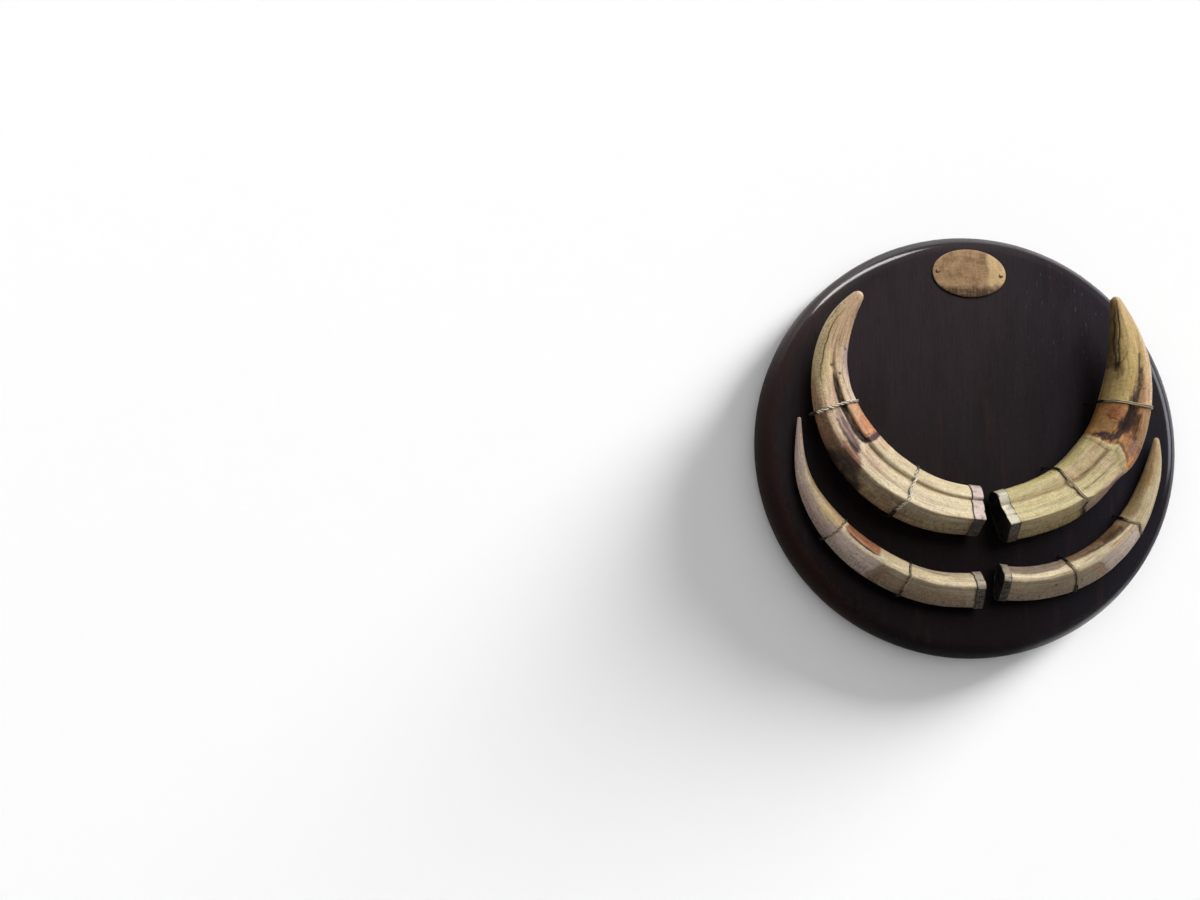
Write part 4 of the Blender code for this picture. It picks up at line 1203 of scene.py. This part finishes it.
def make_wire(tusk, place, at, half_turn, radius, finish, bends):
    """Two strands, twisted together or side by side, over the tusk and straight down into the board."""
    at, radius = at * MM, radius * MM
    rise = TWIST_RISE if half_turn else FLAT_RISE
    route, lift = crown_route(tusk, at, radius + rise + 0.06 * MM)
    outward = outward_of(route)
    walked = run_of(route)
    from_end = np.minimum(walked, walked[-1] - walked)
    loose = ease((from_end - LEG_DEPTH) / LEG_FADE)
    across, pushed = zip(*bends)
    away = np.interp(route[:, 0] / tusk.half_width(at) * 100, across, pushed) * MM
    soften(away, 8)
    away *= loose
    swing = LEG_SWING + loose * (radius * 1.3 - LEG_SWING)
    slow_sway = 0.5 * np.sin(walked / walked[-1] * 9) * loose
    strands = []
    for side in (-1, 1):
        turn = side * pi / 2 + (pi * walked / (half_turn * MM) if half_turn else slow_sway)
        flat = route + outward * (np.cos(turn) * rise)[:, None]
        path = tusk.place(at + away + np.sin(turn) * swing, flat[:, 0], flat[:, 1] + lift)
        curve = bpy.data.curves.new("strand", "CURVE")
        curve.dimensions = "3D"
        curve.bevel_depth = radius
        curve.bevel_resolution = 2
        curve.use_fill_caps = True
        spline = curve.splines.new("POLY")
        spline.points.add(len(path) - 1)
        spline.points.foreach_set("co", np.concatenate([path, np.ones((len(path), 1))], 1).ravel())
        strand = bpy.data.objects.new("strand", curve)
        bpy.context.scene.collection.objects.link(strand)
        strands.append(strand)
    pick(*strands)
    bpy.ops.object.convert(target="MESH")
    bpy.ops.object.join()
    wire = named(f"{tusk.name}_{place}_wire_finished")
    # Painted shade darkens the strands where one passes under the other and down the sides and legs towards the
    # board, and the tops stay bright
    spots = points_of(wire.data)
    origin, aside = tusk.place(np.array([at, at]), np.array([0.0, 1.0]), np.zeros(2))
    over = (spots - origin) @ (aside - origin)
    height = -BOARD_THICKNESS - spots[:, 1]
    above = height - np.interp(over, route[:, 0], route[:, 1] + lift)
    above *= np.interp(over, route[:, 0], outward[:, 1])
    shade_between_strands = 1 - ease((above / (rise + radius) + 0.25) / 0.5)
    shade_down_side = 1 - ease((height / height.max() - 0.5) / 0.3)
    paint_on(wire.data, "grime", 1.1 * np.maximum(shade_between_strands, shade_down_side))
    dress(wire, finish, 60)


def leg_places(tusk, at):
    """Where a wire's two legs enter the board."""
    reach = tusk.half_width(at * MM) + LEG_REACH
    both = tusk.place(np.full(2, at * MM), np.array([-reach, reach]), np.zeros(2))
    return [(float(x), float(z)) for x, _, z in both]


# ---------------------------------------------------------------- board, plate and pins

def make_board(holes, finish):
    """A turned disc: back chamfer, straight side, rounded front edge and flat face, drilled for the wires."""
    radius = BOARD_RADIUS - BACK_CHAMFER
    board = disc("backboard_finished", BOARD_SIDES, radius)
    rounded = [(BOARD_RADIUS - EDGE_INSET * (1 - cos(turn)), EDGE_HEIGHT * (1 - sin(turn)) - BOARD_THICKNESS)
               for turn in [pi / 2 * step / EDGE_STEPS for step in range(EDGE_STEPS + 1)]]
    turn_profile([(BOARD_RADIUS, -BACK_CHAMFER)] + rounded, radius, 0.0)
    bpy.ops.mesh.inset(thickness=FACE_INSET)
    face_out()
    bits = []
    for x, z in holes:
        pick()
        bpy.ops.mesh.primitive_cylinder_add(vertices=HOLE_SIDES, radius=HOLE_RADIUS, depth=2 * HOLE_DEPTH,
                                            location=(x, -BOARD_THICKNESS, z), rotation=FACING_Y)
        bits.append(bpy.context.object)
    pick(*bits)
    bpy.ops.object.join()
    drill = named("drill")
    settle(drill)
    modify(board, "BOOLEAN", operation="DIFFERENCE", object=drill)
    bpy.data.objects.remove(drill, do_unlink=True)
    dress(board, finish, 30)


def make_name_plate(finish):
    """A bare oval plate with a softly bent face and filed edge."""
    plate = disc("name_plate_finished", NAME_SIDES, 1)
    bpy.ops.transform.resize(value=(NAME_SIZE[0] / 2, 1, NAME_SIZE[1] / 2), center_override=(0, 0, 0))
    for forward, wide, high in NAME_EDGE:
        grow(-forward * MM, wide, high)
    for step in NAME_INSETS:
        bpy.ops.mesh.inset(thickness=step * MM)
    pick(plate)
    tilt = Matrix.Rotation(-NAME_TILT, 4, "Y")
    centre = Vector((NAME_CENTRE[0], -BOARD_THICKNESS - NAME_AIR, NAME_CENTRE[1]))
    for vertex in plate.data.vertices:
        x, y, z = vertex.co
        if y < -NAME_THICKNESS * 0.7:
            y += 0.05 * MM * (1 + sin(x * 210) * cos(z * 160 + x * 90))
        vertex.co = tilt @ Vector((x, y, z)) + centre
    edit(plate)
    face_out()
    dress(plate, finish, 30)


def pin_places():
    x, z = NAME_CENTRE
    return [(x + reach * cos(NAME_TILT), z + reach * sin(NAME_TILT)) for reach in (-PIN_SPREAD, PIN_SPREAD)]


def make_pin(name, x, z, finish):
    """A round-headed pin, driven through the plate."""
    face = -BOARD_THICKNESS - NAME_AIR - NAME_THICKNESS
    under_head = face - 0.05 * MM
    point_radius = PIN_SHANK * 0.3
    pin = disc(name + "_finished", PIN_SIDES, point_radius, (x, face + PIN_LENGTH, z))
    profile = [(PIN_SHANK, face + PIN_LENGTH - 1 * MM), (PIN_SHANK, under_head), (PIN_HEAD, under_head)]
    for turn in PIN_HEAD_TURNS:
        profile.append((PIN_HEAD * cos(radians(turn)), under_head - PIN_HEAD_HEIGHT * sin(radians(turn))))
    turn_profile(profile, point_radius, face + PIN_LENGTH, x, z)
    face_out()
    dress(pin, finish, 35)


# ---------------------------------------------------------------- stage, light and camera

def make_wall():
    """A pale wall close behind the board, open behind it, and clear when seen from its back."""
    wall = disc("wall", WALL_SIDES, WALL_HOLE, (0, WALL_GAP, 0), "NOTHING")
    grow(0, WALL_REACH / WALL_HOLE, WALL_REACH / WALL_HOLE, (0, WALL_GAP, 0))
    pick(wall)
    if wall.data.polygons[0].normal.y > 0:
        edit(wall)
        bpy.ops.mesh.flip_normals()
        pick(wall)
    n = Finish("wall_paint", Base_Color=shade(246, 246, 246), Roughness=0.9, Specular_IOR_Level=0.1)
    behind = n.add("NewGeometry")["Backfacing"]
    clear = n.add("BsdfTransparent")[0]
    swap = n.add("MixShader", {0: behind, 1: n.shader.outputs[0], 2: clear})[0]
    n.join(swap, n.tree.nodes["Material Output"].inputs["Surface"])
    wall.data.materials.append(n.made)
    wall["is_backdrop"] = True
    return wall


def make_floor():
    """A pale floor, a little brighter to the camera than the light on it makes it."""
    pick()
    bpy.ops.mesh.primitive_plane_add(size=FLOOR_SIZE, location=(0, 0, FLOOR_DROP))
    floor = named("floor")
    n = Finish("floor_paint", Base_Color=shade(200, 200, 200), Roughness=0.9,
               Emission_Color=shade(214, 214, 214))
    n.wear(Emission_Strength=n.add("LightPath")["Is Camera Ray"])
    floor.data.materials.append(n.made)
    floor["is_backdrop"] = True


def add_light(name, kind, place, towards, energy, lit):
    """A light that shines along one direction and lights one group of pieces."""
    pick()
    bpy.ops.object.light_add(type=kind, location=place)
    light = named(name)
    light.data.energy = energy
    light.rotation_euler = (-Vector(towards)).to_track_quat("Z", "Y").to_euler()
    light.light_linking.receiver_collection = lit
    return light


def make_light(wall, pieces):
    """Soft daylight from the upper right. The polished rim of the board mirrors two bright panels."""
    tusks = [piece for piece in pieces if piece.name.endswith("_tusk_finished")]
    wood = [piece for piece in pieces if piece.name.startswith("backboard")]
    lit = {"ivory": tusks, "wood": wood, "metal": [piece for piece in pieces if piece not in wood + tusks],
           "wall": [wall], "shield": pieces}
    groups = {}
    for label, members in lit.items():
        groups[label] = bpy.data.collections.new(label + "_pieces")
        for piece in members:
            groups[label].objects.link(piece)
    for name, (source, strength, angle, label, mirrored) in SUNS.items():
        light = add_light(name, "SUN", Vector(source) * 2, -Vector(source), strength, groups[label])
        light.data.angle = radians(angle)
        light.visible_glossy = mirrored
    for name, (place, aim, size, power, colour) in PANELS.items():
        light = add_light(name, "AREA", place, Vector(aim) - Vector(place), power, groups["wood"])
        light.data.shape = "RECTANGLE"
        light.data.size, light.data.size_y = size
        light.data.color = colour
        light.visible_diffuse = False

    world = bpy.data.worlds.new("studio")
    bpy.context.scene.world = world
    world.use_nodes = True
    n = Nodes(world.node_tree)
    soft = n.tree.nodes["Background"]
    n.join(shade(240, 240, 240), soft.inputs["Color"])
    n.join(FILL_STRENGTH, soft.inputs["Strength"])
    seen = n.add("Background", {"Color": (0.9, 0.9, 0.9, 1), "Strength": 1.0})[0]
    swap = n.add("MixShader", {0: n.add("LightPath")["Is Camera Ray"], 1: soft.outputs[0], 2: seen})[0]
    n.join(swap, n.tree.nodes["World Output"].inputs["Surface"])


def make_camera():
    pick()
    bpy.ops.object.camera_add()
    camera = bpy.context.object
    camera.data.lens = LENS
    camera.data.sensor_width = 36
    camera.data.clip_start = 0.01
    turn, rise, roll = CAMERA_TURN
    camera.matrix_world = (Matrix.Translation(CAMERA_PLACE) @ Matrix.Rotation(turn, 4, "Z")
                           @ Matrix.Rotation(rise, 4, "X") @ Matrix.Rotation(roll, 4, "Z"))
    bpy.context.scene.camera = camera
    bpy.context.scene.view_settings.view_transform = "Standard"


# ---------------------------------------------------------------- the shield

make_camera()
wall = make_wall()
make_floor()

ivory = ivory_finish()
wood = wood_finish()
silver = {name: silver_finish(name, *values) for name, values in SILVERS.items()}
brass = brass_finish()

drilled = []
for tusk_name in TUSKS:
    tusk = Tusk(tusk_name)
    make_tusk(tusk, ivory)
    length, underside_shade, finish = COLLARS[tusk_name]
    make_collar(tusk, length * MM, underside_shade, silver[finish])
    make_end_plate(tusk, silver["silver_plate_dull"])
    for place, (at, half_turn, radius, finish, *bends) in zip(("inner", "outer"), WIRES[tusk_name]):
        make_wire(tusk, place, at, half_turn, radius, silver[finish], bends)
        drilled += leg_places(tusk, at)
make_board(drilled + pin_places(), wood)
make_name_plate(brass)
for pin_name, (x, z) in zip(("name_plate_pin_left", "name_plate_pin_right"), pin_places()):
    make_pin(pin_name, x, z, brass)

make_light(wall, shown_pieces())

pick()
